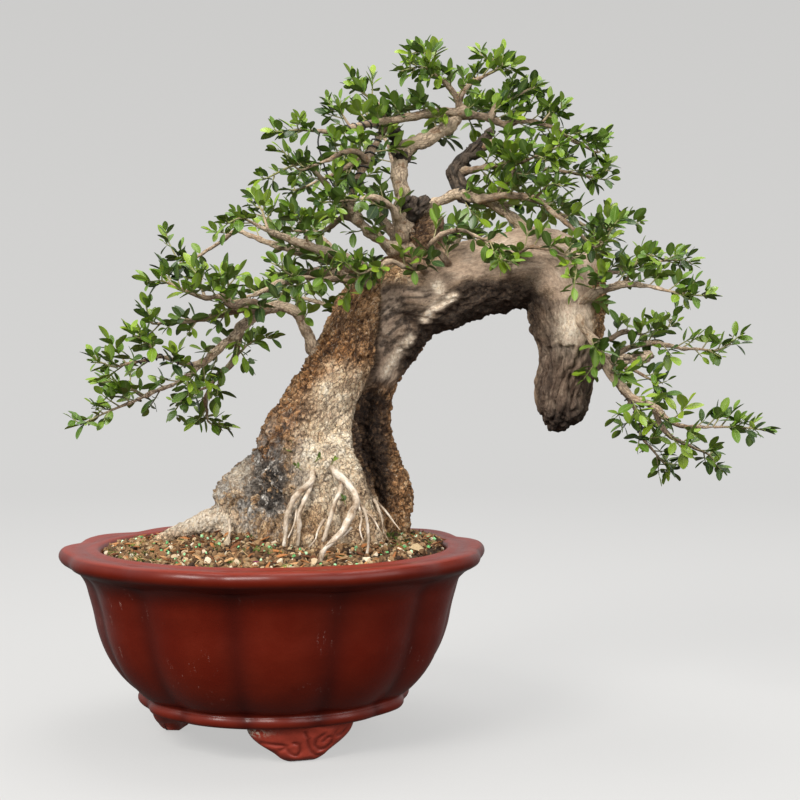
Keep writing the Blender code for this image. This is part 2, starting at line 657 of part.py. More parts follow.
def make_soil(wood, collection):
    """The soil fills the pot to its wall, clears the drain mesh, and has a hole for the roots."""
    gap = SOIL_GAP
    recess = MESH_SIDE / math.sqrt(2) + MESH_MARGIN
    recess_top = FLOOR_TOP + MESH_THICKNESS + 3 * CLEARANCE
    edge = INNER_WALL[-1][0] - gap
    rings = [(edge * i / SOIL_RINGS, SOIL_EDGE_Z - SOIL_SETTLE) for i in range(SOIL_RINGS, -1, -1)]
    wall = [(radius - gap, level + gap) for radius, level in INNER_WALL[:-1]]
    under = [(0, recess_top), (recess, recess_top), (recess, FLOOR_TOP + gap)]
    profile = under + wall + rings
    soil = turned("soil", profile, SOIL_STEPS, collection)
    for vertex in soil.data.vertices:
        x, y, height = vertex.co / MM
        radius = math.hypot(x, y)
        if height > SOIL_EDGE_Z - SOIL_SETTLE - 1 and radius < edge - 1:
            vertex.co.z = soil_height(x, y) * MM
    root_hole = mesh_object("root_hole", wood.data.copy(), new_collection("root_holes"))
    root_hole.data.transform(wood.matrix_world)
    for vertex in root_hole.data.vertices:
        vertex.co += vertex.normal * ROOT_SLEEVE * MM
    return joined(soil, root_hole.users_collection[0], "DIFFERENCE")


def trunk_core(collection):
    """The trunk's bodies melted into one skin, and cut level under the soil."""
    parts = new_collection("trunk_parts")
    first, *others = [
        tube(f"trunk_body_{number}", stations(rows), BODY_RESOLUTION, parts)
        for number, rows in enumerate(TRUNK_BODIES)
    ]
    parts.objects.unlink(first)
    collection.objects.link(first)
    trunk = joined(first, parts, "UNION")
    trunk.name = "trunk_and_branches"
    remesh = trunk.modifiers.new("skin", "REMESH")
    remesh.mode = "VOXEL"
    remesh.voxel_size = WOOD_VOXEL * MM
    smooth = trunk.modifiers.new("soften", "SMOOTH")
    smooth.factor = SOFTEN_SHARE
    smooth.iterations = SOFTEN_ROUNDS
    thin = trunk.modifiers.new("thin_out", "DECIMATE")
    thin.ratio = CORE_KEPT
    return as_mesh(trunk, collection, "trunk_and_branches")


def seat_of(row):
    """Where a spray's stem starts: (route of a side seat or None, start, direction, radius)."""
    branch, station, tip = row
    route = stations(BRANCHES[branch])
    place, radius = route[station]
    end = board(*tip)
    if station == len(route) - 1:
        along = (place - route[station - 1][0]).normalized()
        return None, place + along * CLEARANCE, along, radius
    away = (end - place).normalized()
    away = (away + UP * SEAT_RISE).normalized()
    seat = place + away * (radius + SEAT_LENGTH)
    return [(place, SEAT_RADIUS), (seat, SEAT_RADIUS)], seat + away * CLEARANCE, away, SEAT_RADIUS


def make_wood(collection):
    trunk = trunk_core(collection)
    limbs = new_collection("limbs")
    for name, rows in BRANCHES.items():
        thick = max(row[3] for row in rows) > THICK_LIMB
        tube("limb_" + name, stations(rows), 1 if thick else 0, limbs)
    for name, row in SPRAYS.items():
        seat, _, _, _ = seat_of(row)
        if seat:
            tube("seat_" + name, seat, 0, limbs)
    wood = joined(trunk, limbs, "UNION")
    foot_cut = new_collection("foot_cut")
    bpy.ops.mesh.primitive_cube_add(size=1, location=(0, 0, (ROOT_CUT_Z - CUTTER_SIZE.z / 2) * MM))
    cutter = bpy.context.active_object
    cutter.scale = CUTTER_SIZE * MM
    as_mesh(cutter, foot_cut, "foot_cutter")
    return joined(wood, foot_cut, "DIFFERENCE")


def leaf_frame(direction, twist, lift):
    """Axes of a blade: along it, across it, and out of its upper face."""
    along = (direction + UP * lift).normalized()
    side = along.cross(UP)
    side = side.normalized() if side.length > SHORTEST_FLAT else Vector((1.0, 0.0, 0.0))
    face = side.cross(along).normalized()
    turn = Matrix.Rotation(twist, 3, along)
    return along, turn @ side, turn @ face


class Spray:
    """One leafy spray: its stem, its side shoots and its leaves, by a rule with a seeded draw."""

    def __init__(self, name, row):
        self.name = name
        _, self.start, self.direction, self.radius = seat_of(row)
        self.draw = random.Random(name)
        self.tip = board(*row[2])
        self.length = (self.tip - self.start).length
        self.stem = [self.start, self.start + self.direction * self.length * STEM_KNEE, self.tip]
        self.leaves = []
        self.grow()

    def grow(self):
        """Leaves stand in opposite pairs, each pair a quarter turn on from the last."""
        pairs = max(3, round(self.length / PAIR_SPACING))
        turn = self.draw.uniform(0.0, math.pi)
        for number in range(pairs):
            t = PAIR_SPAN[0] + (PAIR_SPAN[1] - PAIR_SPAN[0]) * number / (pairs - 1)
            place, along = self.on_stem(t)
            self.add_pair(place, along, turn, number == 0)
            turn += math.pi / 2 + self.draw.uniform(-PAIR_TURN_DRIFT, PAIR_TURN_DRIFT)
        place, along = self.on_stem(1.0)
        frame = leaf_frame(along, self.draw.uniform(-TWIST, TWIST), self.draw.uniform(0.0, TIP_LIFT))
        base = place - along * TIP_OVERLAP
        self.leaves.append((True, base, *frame, self.draw.uniform(*LEAF_LENGTH)))

    def add_pair(self, place, along, turn, lone):
        flat = along.cross(UP)
        flat = flat.normalized() if flat.length > SHORTEST_FLAT else Vector((1.0, 0.0, 0.0))
        for side in (0.0, math.pi):
            out = Matrix.Rotation(turn + side, 3, along) @ flat
            lean = math.radians(self.draw.uniform(*PAIR_LEAN))
            heading = (along * math.cos(lean) + out * math.sin(lean)).normalized()
            twist = self.draw.uniform(-TWIST, TWIST)
            frame = leaf_frame(heading, twist, self.draw.uniform(0.0, PAIR_LIFT))
            base = place + frame[0] * LEAF_ROOT
            coarse = not (lone and side > 0 and self.length < LONG_SPRAY)
            self.leaves.append((coarse, base, *frame, self.draw.uniform(*LEAF_LENGTH)))

    def on_stem(self, t):
        spot = t * (len(self.stem) - 1)
        index = min(int(spot), len(self.stem) - 2)
        first, second = self.stem[index], self.stem[index + 1]
        return first.lerp(second, spot - index), (second - first).normalized()


def blade(name, leaf, collection):
    """A pointed blade, thickest along its midrib, whose root starts inside the stem."""
    base, along, across, face, length = leaf
    half = length * LEAF_WIDTH_SHARE / 2
    thick = LEAF_THICKNESS / 2
    sag = length * LEAF_SAG
    broad = BLADE_BROADEST * length
    ridge = BLADE_RIDGE * length
    shape = (
        (-BLADE_ROOT, 0, 0), (broad, half, 0), (broad, -half, 0), (length, 0, -sag),
        (ridge, 0, thick), (ridge, 0, -thick),
    )
    faces = ((0, 1, 4), (0, 4, 2), (0, 2, 5), (0, 5, 1), (3, 4, 1), (3, 2, 4), (3, 5, 2), (3, 1, 5))
    mesh = bpy.data.meshes.new(name)
    points = [(base + along * u + across * v + face * w) * MM for u, v, w in shape]
    mesh.from_pydata(points, [], faces)
    faces_outward(mesh)
    return mesh_object(name, mesh, collection)


def skin_tree(obj, first=0, swell=0.0):
    """A search tree over obj's faces whose points are all numbered first or more, swollen by swell."""
    points = [vertex.co + vertex.normal * swell * MM for vertex in obj.data.vertices]
    faces = [tuple(face.vertices) for face in obj.data.polygons if min(face.vertices) >= first]
    return BVHTree.FromPolygons(points, faces)


def touches(leaf, skins, first):
    """Whether a blade's faces, from the point numbered first on, come too near any skin."""
    tree = skin_tree(leaf, first, LEAF_REST)
    return any(tree.overlap(skin) for skin in skins)


def inside(place, skin):
    """Whether a point lies under the skin."""
    near, normal, _, _ = skin.find_nearest(place)
    return near is not None and (place - near).dot(normal) < 0


def make_spray(spray, skins, collection):
    """Joins the stem and the leaves that are clear of other nodes and of each other."""
    helpers = new_collection("spray_parts")
    last = len(spray.stem) - 1
    radii = [spray.radius + (STEM_TIP_RADIUS - spray.radius) * i / last for i in range(last + 1)]
    stem = tube("spray_" + spray.name, list(zip(spray.stem, radii)), 0, collection)
    own = []
    for number, (coarse, *leaf) in enumerate(spray.leaves):
        if not coarse:
            continue
        candidate = blade(f"leaf_{number}", leaf, helpers)
        tip = (leaf[0] + leaf[1] * leaf[4]) * MM
        if touches(candidate, skins, 0) or touches(candidate, own, 1) or inside(tip, skins[0]):
            bpy.data.objects.remove(candidate)
            continue
        own.append(skin_tree(candidate, 1))
    return joined(stem, helpers, "UNION")


def main():
    clear_scene()
    collection = new_collection("olive_bonsai")
    bark = material("bark", BARK, BARK_ROUGH)
    clay = material("clay", CLAY, CLAY_ROUGH)
    earth = material("earth", SOIL_BROWN, SOIL_ROUGH)
    leaf = material("leaf", LEAF_GREEN, LEAF_ROUGH)
    plastic = material("mesh_plastic", MESH_BLACK, MESH_ROUGH)

    wood = make_wood(collection)
    pot = make_pot(collection)
    drain = make_drain_mesh(collection)
    soil = make_soil(wood, collection)
    sprays = []
    skins = [skin_tree(wood), skin_tree(soil), skin_tree(pot)]
    for name, row in SPRAYS.items():
        made = make_spray(Spray(name, row), skins, collection)
        skins.append(skin_tree(made))
        sprays.append(made)

    axis = bpy.data.objects.new("plant_axis", None)
    collection.objects.link(axis)
    axis.location = (POT_AXIS_X * MM, POT_AXIS_Y * MM, 0)
    dressed = [(wood, bark), (pot, clay), (drain, plastic), (soil, earth)]
    dressed += [(made, leaf) for made in sprays]
    for obj, finish in dressed:
        obj.data.materials.clear()
        obj.data.materials.append(finish)
        obj.parent = axis


main()
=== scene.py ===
import json
import logging
import math
import random
from collections.abc import Callable, Iterable, Sequence
from dataclasses import dataclass, field
from enum import Enum

import bmesh
import bpy
import numpy as np
from mathutils import Matrix, Vector, noise

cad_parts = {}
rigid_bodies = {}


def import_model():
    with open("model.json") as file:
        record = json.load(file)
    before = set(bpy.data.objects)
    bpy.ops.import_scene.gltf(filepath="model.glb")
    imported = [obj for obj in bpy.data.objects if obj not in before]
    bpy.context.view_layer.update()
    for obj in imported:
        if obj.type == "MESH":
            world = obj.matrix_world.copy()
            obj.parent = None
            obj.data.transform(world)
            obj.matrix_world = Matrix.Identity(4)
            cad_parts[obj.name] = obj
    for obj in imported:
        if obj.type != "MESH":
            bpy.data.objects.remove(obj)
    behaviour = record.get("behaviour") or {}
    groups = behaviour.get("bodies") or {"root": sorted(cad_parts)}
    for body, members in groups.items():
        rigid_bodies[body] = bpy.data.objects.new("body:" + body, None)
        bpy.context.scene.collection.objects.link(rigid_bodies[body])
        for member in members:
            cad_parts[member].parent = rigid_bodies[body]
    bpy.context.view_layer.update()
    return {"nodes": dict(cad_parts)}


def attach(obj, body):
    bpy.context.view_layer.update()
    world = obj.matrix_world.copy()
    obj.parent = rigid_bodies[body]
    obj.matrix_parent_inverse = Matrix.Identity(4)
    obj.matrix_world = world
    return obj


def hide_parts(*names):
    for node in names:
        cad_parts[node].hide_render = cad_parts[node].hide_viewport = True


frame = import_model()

log = logging.getLogger("olive_bonsai")

# Millimetres become metres. The drawing board stands upright through the pot's axis, and a point
# on it is (across, down), carried along the line of sight to its depth behind the board.
MM = 0.001
BOARD_LEFT = -275.0
BOARD_TOP = 733.0
EYE_ACROSS = 400.0
EYE_DOWN = 363.0
EYE_DISTANCE = 1500.0
POT_AXIS_X = -135.0
BODY = "root"
NOISE_SEED = 7
UP = Vector((0.0, 0.0, 1.0))

Station = tuple[float, float, float, float]
Limb = tuple[Station, ...]
Route = list[tuple[Vector, float]]
Triple = tuple[float, float, float]
Colour = Triple
Stops = tuple[tuple[float, Colour], ...]
Faces = list[tuple[int, ...]]
Piece = bpy.types.Object
Kit = bpy.types.Collection
Mesh = bpy.types.Mesh
Material = bpy.types.Material
Socket = bpy.types.NodeSocket
Plug = Socket | float | Sequence[float]

# Stations of the trunk's bodies: across, down, depth, radius
BARK_TRUNK: Limb = (
    (300, 595, -4, 62), (302, 535, -4, 62), (304, 500, -6, 60), (305, 470, -8, 56), (309, 440, -10, 48),
    (322, 408, -12, 41), (338, 376, -12, 36), (352, 342, -10, 33), (366, 312, -6, 32), (384, 288, 0, 34),
)
LEFT_FLARE: Limb = (
    (312, 490, 5, 50), (268, 490, 6, 40), (244, 500, 6, 33), (226, 518, 4, 24), (206, 524, 0, 14),
    (172, 534, -4, 8), (150, 548, -6, 6),
)
LEFT_BASE: Limb = ((250, 590, 4, 40), (250, 540, 4, 38), (254, 500, 4, 30))
FRONT_FLARE: Limb = ((322, 450, -30, 30), (318, 490, -42, 34), (314, 530, -50, 37), (312, 590, -52, 38))
FRONT_RIDGE: Limb = ((340, 420, -30, 17), (350, 470, -40, 19), (362, 520, -46, 20), (366, 590, -48, 21))
BACK_FLARE: Limb = (
    (352, 372, 14, 34), (338, 440, 26, 36), (334, 490, 40, 38), (330, 540, 48, 42), (330, 590, 50, 42),
)
RIGHT_RIB: Limb = (
    (384, 590, 18, 30), (384, 520, 18, 29), (387, 492, 18, 27), (377, 462, 18, 24), (368, 430, 18, 24),
    (367, 398, 16, 26), (372, 370, 14, 30), (384, 345, 10, 34), (400, 318, 6, 38),
)
ARCH: Limb = (
    (372, 322, 4, 40), (396, 297, 4, 42), (426, 296, 4, 40), (455, 285, 4, 40), (490, 275, 4, 39),
    (523, 269, 2, 41), (548, 272, 0, 43), (563, 290, -4, 43), (568, 318, -8, 39), (569, 348, -8, 31),
    (566, 374, -6, 28), (561, 396, -4, 26), (559, 410, -4, 23),
)
KNOB: Limb = ((415, 262, 6, 24), (424, 238, 6, 22), (432, 222, 6, 16))
LEADER: Limb = (
    (404, 250, 0, 16), (403, 215, 0, 11), (402, 190, 0, 9.5), (400, 165, 0, 9.5), (406, 149, 0, 9.5),
    (424, 141, -2, 8.5), (442, 131, -4, 8.0), (456, 120, -4, 7.5), (464, 110, -4, 6.0),
)

# Wooden branches and bare surface roots: across, down, depth, radius
BRANCHES: dict[str, Limb] = {
    "leader": LEADER,
    "leader_stub": ((403, 158, 0, 7), (398, 146, 2, 6.5), (395, 133, 4, 5)),
    "charred_snag": (
        (466, 198, 0, 6), (458, 184, 5, 8), (455, 172, 8, 9), (466, 158, 8, 9), (480, 144, 6, 8),
        (493, 131, 4, 4),
    ),
    "low_left": (
        (332, 372, -6, 10), (315, 350, -22, 8), (304, 326, -35, 6.5), (296, 311, -45, 6),
        (283, 306, -48, 6), (265, 309, -51, 6), (252, 317, -54, 6), (239, 330, -58, 5.5),
        (226, 343, -61, 5), (205, 361, -64, 4.2), (192, 373, -67, 3.2), (166, 387, -74, 2.8),
        (143, 397, -77, 2.4), (124, 405, -80, 1.8),
    ),
    "low_left_hook": (
        (239, 332, -54, 4.5), (237, 346, -42, 4), (235, 357, -35, 3.8), (228, 367, -32, 3.4),
        (217, 376, -29, 3), (211, 386, -29, 2.6), (206, 399, -29, 2.2), (207, 411, -26, 1.7),
    ),
    "low_left_fork": (
        (205, 361, -67, 3.6), (190, 365, -80, 2.8), (174, 360, -93, 2.4), (158, 357, -102, 2.1),
        (141, 361, -109, 1.8), (127, 364, -115, 1.6),
    ),
    "shelf": (
        (268, 309, -54, 4.6), (248, 309, -64, 4.4), (229, 312, -74, 4), (201, 319, -83, 3.2),
        (178, 322, -90, 2.4), (163, 323, -96, 1.7),
    ),
    "shelf_upper": (
        (268, 308, -50, 4.2), (246, 302, -80, 4), (230, 305, -93, 3.8), (222, 297, -99, 3.2),
        (205, 298, -106, 2.6), (190, 293, -112, 2.1), (174, 286, -118, 1.6),
    ),
    "left_back": (
        (368, 284, 10, 8), (334, 272, 20, 6), (300, 277, 30, 5.2), (278, 284, 38, 4.4), (262, 292, 46, 3.2),
        (246, 297, 54, 1.8),
    ),
    "left_front": (
        (372, 284, -30, 5), (348, 281, -57, 3.4), (326, 279, -71, 2.8), (306, 277, -84, 1.8),
    ),
    "left_upper": (
        (388, 290, -10, 8), (362, 268, -22, 7), (332, 255, -32, 5.4), (309, 246, -42, 4.6),
        (284, 238, -51, 4), (268, 230, -61, 3), (255, 224, -67, 1.8),
    ),
    "left_upper_back": (
        (352, 268, 12, 6), (322, 258, 24, 5), (290, 249, 36, 4.2), (268, 242, 44, 3.8), (250, 236, 52, 3.2),
        (237, 231, 58, 2.8), (226, 238, 62, 2.4), (212, 247, 66, 2), (200, 255, 70, 1.6),
    ),
    "inner_broken": (
        (394, 250, -26, 7), (362, 224, -38, 5.6), (349, 207, -45, 5), (338, 196, -51, 4.6),
        (326, 184, -58, 3.6),
    ),
    "inner_rise": (
        (352, 212, -45, 4), (351, 198, -38, 4), (358, 181, -32, 4.4), (366, 163, -26, 4.4),
        (373, 147, -19, 4.2), (382, 132, -13, 4), (391, 120, -6, 4),
    ),
    "crown_shelf": (
        (464, 112, -6, 5.5), (440, 113, -13, 5.2), (418, 116, -16, 5), (398, 120, -16, 4.6),
        (386, 122, -16, 4),
    ),
    "crown_left": (
        (390, 121, -16, 4), (371, 124, -29, 3.8), (351, 128, -42, 3.4), (333, 132, -51, 2.8),
        (317, 131, -61, 2),
    ),
    "crown_left_up": ((388, 120, -6, 3.4), (378, 104, -2, 2.6), (370, 98, 2, 1.8)),
    "inner_left": (
        (367, 160, -29, 3.6), (354, 151, -48, 3), (342, 153, -61, 2.8), (328, 160, -74, 2.4),
        (314, 165, -83, 1.6),
    ),
    "inner_left_back": (
        (373, 149, -18, 3.6), (352, 164, 14, 3), (334, 174, 32, 2.4), (316, 182, 44, 1.6),
    ),
    "hub_left": (
        (402, 238, -14, 6), (396, 215, -28, 4.6), (386, 203, -41, 4), (371, 198, -51, 3.2),
        (352, 200, -65, 1.8),
    ),
    "hub_left_low": (
        (398, 248, -10, 6), (386, 224, 4, 5), (376, 211, 16, 4.2), (371, 196, 26, 3.4), (360, 184, 36, 1.8),
    ),
    "left_drop": (
        (360, 222, -42, 4), (345, 216, -32, 3.4), (333, 225, -22, 3), (321, 232, -13, 2.4),
        (304, 231, -3, 1.7),
    ),
    "crown_top": (
        (462, 112, -4, 4.6), (456, 96, -8, 3.8), (444, 82, -12, 3.2), (432, 72, -16, 2.4),
        (429, 62, -18, 1.6),
    ),
    "crown_top_right": ((458, 100, -6, 3.6), (470, 84, 2, 2.8), (484, 76, 8, 2.2), (496, 70, 12, 1.6)),
    "crown_right": (
        (462, 114, -2, 5), (484, 116, 6, 4.6), (504, 124, 12, 4.4), (522, 120, 16, 3.6), (541, 124, 20, 3),
        (556, 129, 24, 2.6), (572, 140, 28, 2.1), (586, 147, 30, 1.6),
    ),
    "crown_right_up": ((490, 118, 6, 3.6), (498, 104, 12, 3), (512, 98, 20, 2.4), (524, 92, 26, 1.7)),
    "hub_right": (
        (424, 226, 6, 9), (434, 204, 4, 7), (456, 195, 0, 6.6), (478, 199, -4, 6.4), (495, 203, -6, 6.2),
        (508, 214, -6, 6.4), (520, 224, -4, 7), (532, 240, 0, 8),
    ),
    "snag_branch": (
        (484, 146, 6, 4.6), (498, 143, -10, 4), (508, 151, -22, 3.6), (513, 164, -32, 3),
        (514, 177, -42, 2.2),
    ),
    "right_upper": (
        (462, 172, 6, 4.6), (484, 167, -13, 3.4), (507, 165, -29, 2.8), (526, 160, -42, 2.2),
        (538, 155, -51, 1.6),
    ),
    "right_mid": (
        (488, 203, 4, 4.4), (514, 178, 10, 3.4), (541, 169, 16, 2.8), (562, 171, 20, 2.4),
        (582, 175, 24, 1.9),
    ),
    "right_long": (
        (478, 200, -10, 4.6), (508, 195, -29, 3.8), (534, 199, -42, 3.4), (552, 212, -51, 3),
        (568, 224, -58, 2.6), (582, 236, -64, 1.8),
    ),
    "right_long_back": (
        (502, 207, -5, 4.4), (512, 202, 8, 4), (530, 196, 18, 3.4), (548, 206, 30, 3), (566, 216, 40, 2.5),
        (586, 226, 48, 1.7),
    ),
    "shoulder": (
        (566, 282, -4, 6.5), (584, 262, -6, 5), (592, 252, -8, 3.6), (600, 241, -10, 2.6),
        (607, 231, -12, 1.7),
    ),
    "right_shelf": (
        (572, 306, -34, 7), (588, 298, -48, 5.6), (604, 290, -58, 4.8), (624, 284, -68, 4),
        (645, 286, -76, 3), (664, 290, -84, 1.8),
    ),
    "right_shelf_back": ((590, 282, 10, 5), (612, 272, 20, 4), (634, 264, 28, 3), (654, 262, 34, 1.8)),
    "cascade": (
        (574, 308, -38, 6), (585, 328, -46, 5.2), (596, 344, -50, 5), (603, 361, -52, 4.8),
        (614, 378, -54, 4.6), (628, 393, -56, 4.4), (641, 402, -58, 4.2), (656, 408, -62, 3.8),
        (664, 416, -65, 3.2), (675, 424, -69, 2.6), (696, 427, -73, 2), (716, 427, -76, 1.6),
    ),
    "cascade_lower": (
        (656, 410, -61, 3.4), (660, 424, -56, 3), (669, 435, -50, 2.8), (682, 443, -44, 2.2),
        (696, 449, -40, 1.6),
    ),
    "cascade_inner": (
        (617, 383, -53, 3), (631, 404, -44, 2.3), (640, 418, -36, 2.1), (641, 436, -30, 1.9),
        (651, 448, -26, 1.5),
    ),
    "right_snag": ((588, 362, 4, 8), (612, 361, 4, 6.6), (632, 359, 4, 5.6), (649, 355, 4, 4.4)),
    "right_bough": (
        (590, 352, 12, 6), (606, 360, 18, 4.4), (630, 348, 18, 3.8), (653, 343, 16, 3.2),
        (668, 345, 14, 2.8), (682, 348, 12, 2.3), (698, 349, 10, 1.7),
    ),
    "right_thin": (
        (574, 338, 2, 5.5), (592, 341, 16, 4), (606, 340, 24, 3), (626, 332, 28, 2.4), (640, 334, 30, 1.7),
    ),
    "right_drop": ((604, 359, 6, 3.4), (618, 366, -6, 2.6), (636, 371, -12, 2.1), (646, 377, -14, 1.6)),
    "arch_front": (
        (452, 276, -14, 5), (446, 260, -34, 4.4), (431, 244, -50, 3.2), (446, 233, -62, 2.8),
        (462, 230, -70, 2.4), (478, 237, -76, 1.7),
    ),
    "arch_front_left": (
        (430, 280, -18, 5), (420, 268, -38, 4), (408, 268, -50, 3), (390, 261, -60, 2.6),
        (374, 268, -68, 1.8),
    ),
    "arch_front_right": (
        (514, 268, -20, 5), (518, 258, -40, 4), (526, 248, -52, 2.8), (542, 247, -62, 2.2),
        (556, 252, -70, 1.6),
    ),
    "arch_back": (
        (454, 276, 16, 7), (452, 260, 38, 6), (456, 244, 60, 4.6), (462, 232, 84, 3.6),
        (474, 222, 106, 2.4), (486, 212, 122, 1.7),
    ),
    "arch_back_right": (
        (532, 268, 16, 6.5), (536, 260, 38, 5.4), (548, 254, 62, 4.2), (566, 248, 88, 3),
        (584, 246, 108, 1.8),
    ),
    "trunk_back": (
        (378, 300, 34, 7), (362, 280, 62, 5.2), (346, 262, 90, 4), (334, 248, 114, 2.8),
        (322, 238, 130, 1.8),
    ),
    "trunk_back_low": (
        (360, 334, 10, 7), (362, 330, 34, 6), (348, 318, 60, 4.6), (330, 306, 86, 3.4),
        (310, 300, 104, 2.2), (296, 298, 114, 1.6),
    ),
    "leader_back": (
        (402, 186, 6, 5.4), (396, 170, 36, 4.4), (392, 156, 64, 3.4), (388, 144, 88, 2.4),
        (382, 134, 102, 1.7),
    ),
    "leader_back_right": ((428, 140, 4, 5), (440, 128, 32, 4), (456, 118, 60, 3), (472, 112, 82, 1.8)),
    "root_left_outer": (
        (336, 466, -56, 4.4), (311, 482, -80, 4.2), (297, 494, -84, 4), (288, 512, -86, 3.6),
        (284, 545, -86, 2.6),
    ),
    "root_left_inner": (
        (322, 466, -48, 4.4), (309, 490, -82, 3.4), (301, 508, -88, 3), (298, 545, -88, 2.4),
    ),
    "root_right_outer": (
        (326, 466, -56, 5), (340, 476, -82, 4.8), (351, 487, -90, 4.8), (356, 502, -96, 4.6),
        (349, 518, -104, 4.2), (340, 535, -112, 3.8), (326, 548, -120, 3.4), (318, 590, -122, 3),
    ),
    "root_right_inner": (
        (336, 462, -48, 4.4), (341, 486, -84, 3.4), (333, 508, -94, 3), (324, 540, -98, 2.4),
    ),
    "root_right_fine": (
        (356, 500, -92, 2.4), (364, 510, -96, 2), (368, 530, -98, 1.8), (367, 560, -98, 1.6),
    ),
}

# Leafy sprays: the branch that each grows from, the station there, and the tip on the board.
# The last station is the branch's end, and any other is a side seat.
SPRAYS: dict[str, tuple[str, int, Triple]] = {
    "low_tip": ("low_left", 13, (80, 425, -92)),
    "low_tip_top": ("low_left", 12, (102, 382, -66)),
    "fork_tip": ("low_left_fork", 5, (96, 360, -126)),
    "fork_top": ("low_left_fork", 3, (134, 336, -120)),
    "hang_left": ("low_left_hook", 5, (174, 412, -30)),
    "hook_tip": ("low_left_hook", 7, (226, 427, -24)),
    "hook_side": ("low_left_hook", 2, (268, 337, -32)),
    "shelf_tip": ("shelf", 5, (146, 306, -106)),
    "shelf_high_tip": ("shelf_upper", 6, (148, 282, -132)),
    "shelf_high_mid": ("shelf_upper", 4, (192, 268, -96)),
    "shelf_high_in": ("shelf_upper", 2, (226, 272, -124)),
    "left_back_tip": ("left_back", 5, (218, 284, 84)),
    "left_front_tip": ("left_front", 3, (276, 264, -106)),
    "left_upper_tip": ("left_upper", 6, (226, 224, -86)),
    "left_upper_top": ("left_upper", 5, (254, 198, -40)),
    "left_upper_mid": ("left_upper", 3, (294, 212, -76)),
    "left_lone_tip": ("left_upper_back", 8, (166, 238, 84)),
    "broken_twig": ("inner_broken", 4, (262, 180, -78)),
    "crown_left_tip": ("crown_left", 4, (276, 132, -84)),
    "crown_left_mid": ("crown_left", 2, (330, 106, -40)),
    "crown_left_peak": ("crown_left_up", 2, (352, 78, 10)),
    "inner_left_tip": ("inner_left", 4, (282, 150, -104)),
    "inner_back_tip": ("inner_left_back", 3, (290, 190, 74)),
    "hub_left_tip": ("hub_left", 4, (318, 202, -94)),
    "hub_back_tip": ("hub_left_low", 4, (344, 156, 66)),
    "left_drop_tip": ("left_drop", 4, (270, 222, 20)),
    "crown_top_tip": ("crown_top", 4, (410, 54, -30)),
    "crown_top_mid": ("crown_top", 2, (404, 70, -58)),
    "crown_right_peak": ("crown_top_right", 3, (480, 56, 30)),
    "crown_right_top": ("crown_right_up", 3, (538, 88, 44)),
    "crown_right_tip": ("crown_right", 7, (606, 134, 44)),
    "crown_right_mid": ("crown_right", 4, (562, 108, 6)),
    "right_upper_tip": ("right_upper", 4, (560, 146, -76)),
    "right_mid_tip": ("right_mid", 4, (610, 164, 44)),
    "right_long_tip": ("right_long", 5, (618, 220, -84)),
    "right_long_mid": ("right_long", 2, (564, 186, -84)),
    "right_back_tip": ("right_long_back", 5, (612, 214, 74)),
    "shoulder_tip": ("shoulder", 4, (636, 222, -10)),
    "right_shelf_tip": ("right_shelf", 5, (706, 296, -104)),
    "right_shelf_top": ("right_shelf", 3, (652, 254, -104)),
    "shelf_back_tip": ("right_shelf_back", 3, (690, 262, 60)),
    "bough_tip": ("right_bough", 6, (740, 336, 4)),
    "thin_tip": ("right_thin", 4, (676, 314, 40)),
    "drop_tip": ("right_drop", 3, (664, 396, -20)),
    "cascade_tip": ("cascade", 11, (764, 430, -96)),
    "cascade_low_tip": ("cascade_lower", 4, (716, 466, -24)),
    "cascade_in_tip": ("cascade_inner", 4, (672, 472, -8)),
    "arch_front_tip": ("arch_front", 5, (504, 262, -96)),
    "arch_front_left_tip": ("arch_front_left", 4, (344, 262, -90)),
    "arch_front_right_tip": ("arch_front_right", 4, (574, 288, -96)),
    "arch_back_tip": ("arch_back", 5, (506, 180, 158)),
    "arch_back_right_tip": ("arch_back_right", 4, (616, 236, 138)),
    "trunk_back_tip": ("trunk_back", 4, (300, 216, 160)),
    "trunk_back_low_tip": ("trunk_back_low", 5, (258, 290, 134)),
    "leader_back_tip": ("leader_back", 4, (362, 110, 134)),
    "leader_back_right_tip": ("leader_back_right", 3, (504, 98, 116)),
}


class Slot(Enum):
    """The record's material slots."""

    CLAY = "clay"
    BARK = "bark"
    EARTH = "earth"
    LEAF = "leaf"
    PLASTIC = "mesh_plastic"


# Laying out


def board(across: float, down: float, depth: float) -> Vector:
    """The place in the row frame, in millimetres, of a point that the board shows there.

    Args:
        across: Distance from the board's left edge.
        down: Distance from the board's top edge.
        depth: Distance behind the board, which the line of sight carries the point to.

    Returns:
        The point, in millimetres.
    """
    spread = (EYE_DISTANCE + depth) / EYE_DISTANCE
    x = POT_AXIS_X + BOARD_LEFT + EYE_ACROSS + (across - EYE_ACROSS) * spread
    z = BOARD_TOP - EYE_DOWN - (down - EYE_DOWN) * spread
    return Vector((x, depth, z))


def on_board(points: np.ndarray) -> np.ndarray:
    """The (across, down, depth) of each point of the row frame, in millimetres."""
    spread = (EYE_DISTANCE + points[:, 1]) / EYE_DISTANCE
    across = EYE_ACROSS + (points[:, 0] - POT_AXIS_X - BOARD_LEFT - EYE_ACROSS) / spread
    down = EYE_DOWN + (BOARD_TOP - EYE_DOWN - points[:, 2]) / spread
    return np.stack((across, down, points[:, 1]), axis=1)


def stations(rows: Sequence[Station]) -> Route:
    """The board's rows as (place, radius) pairs."""
    return [(board(across, down, depth), radius) for across, down, depth, radius in rows]


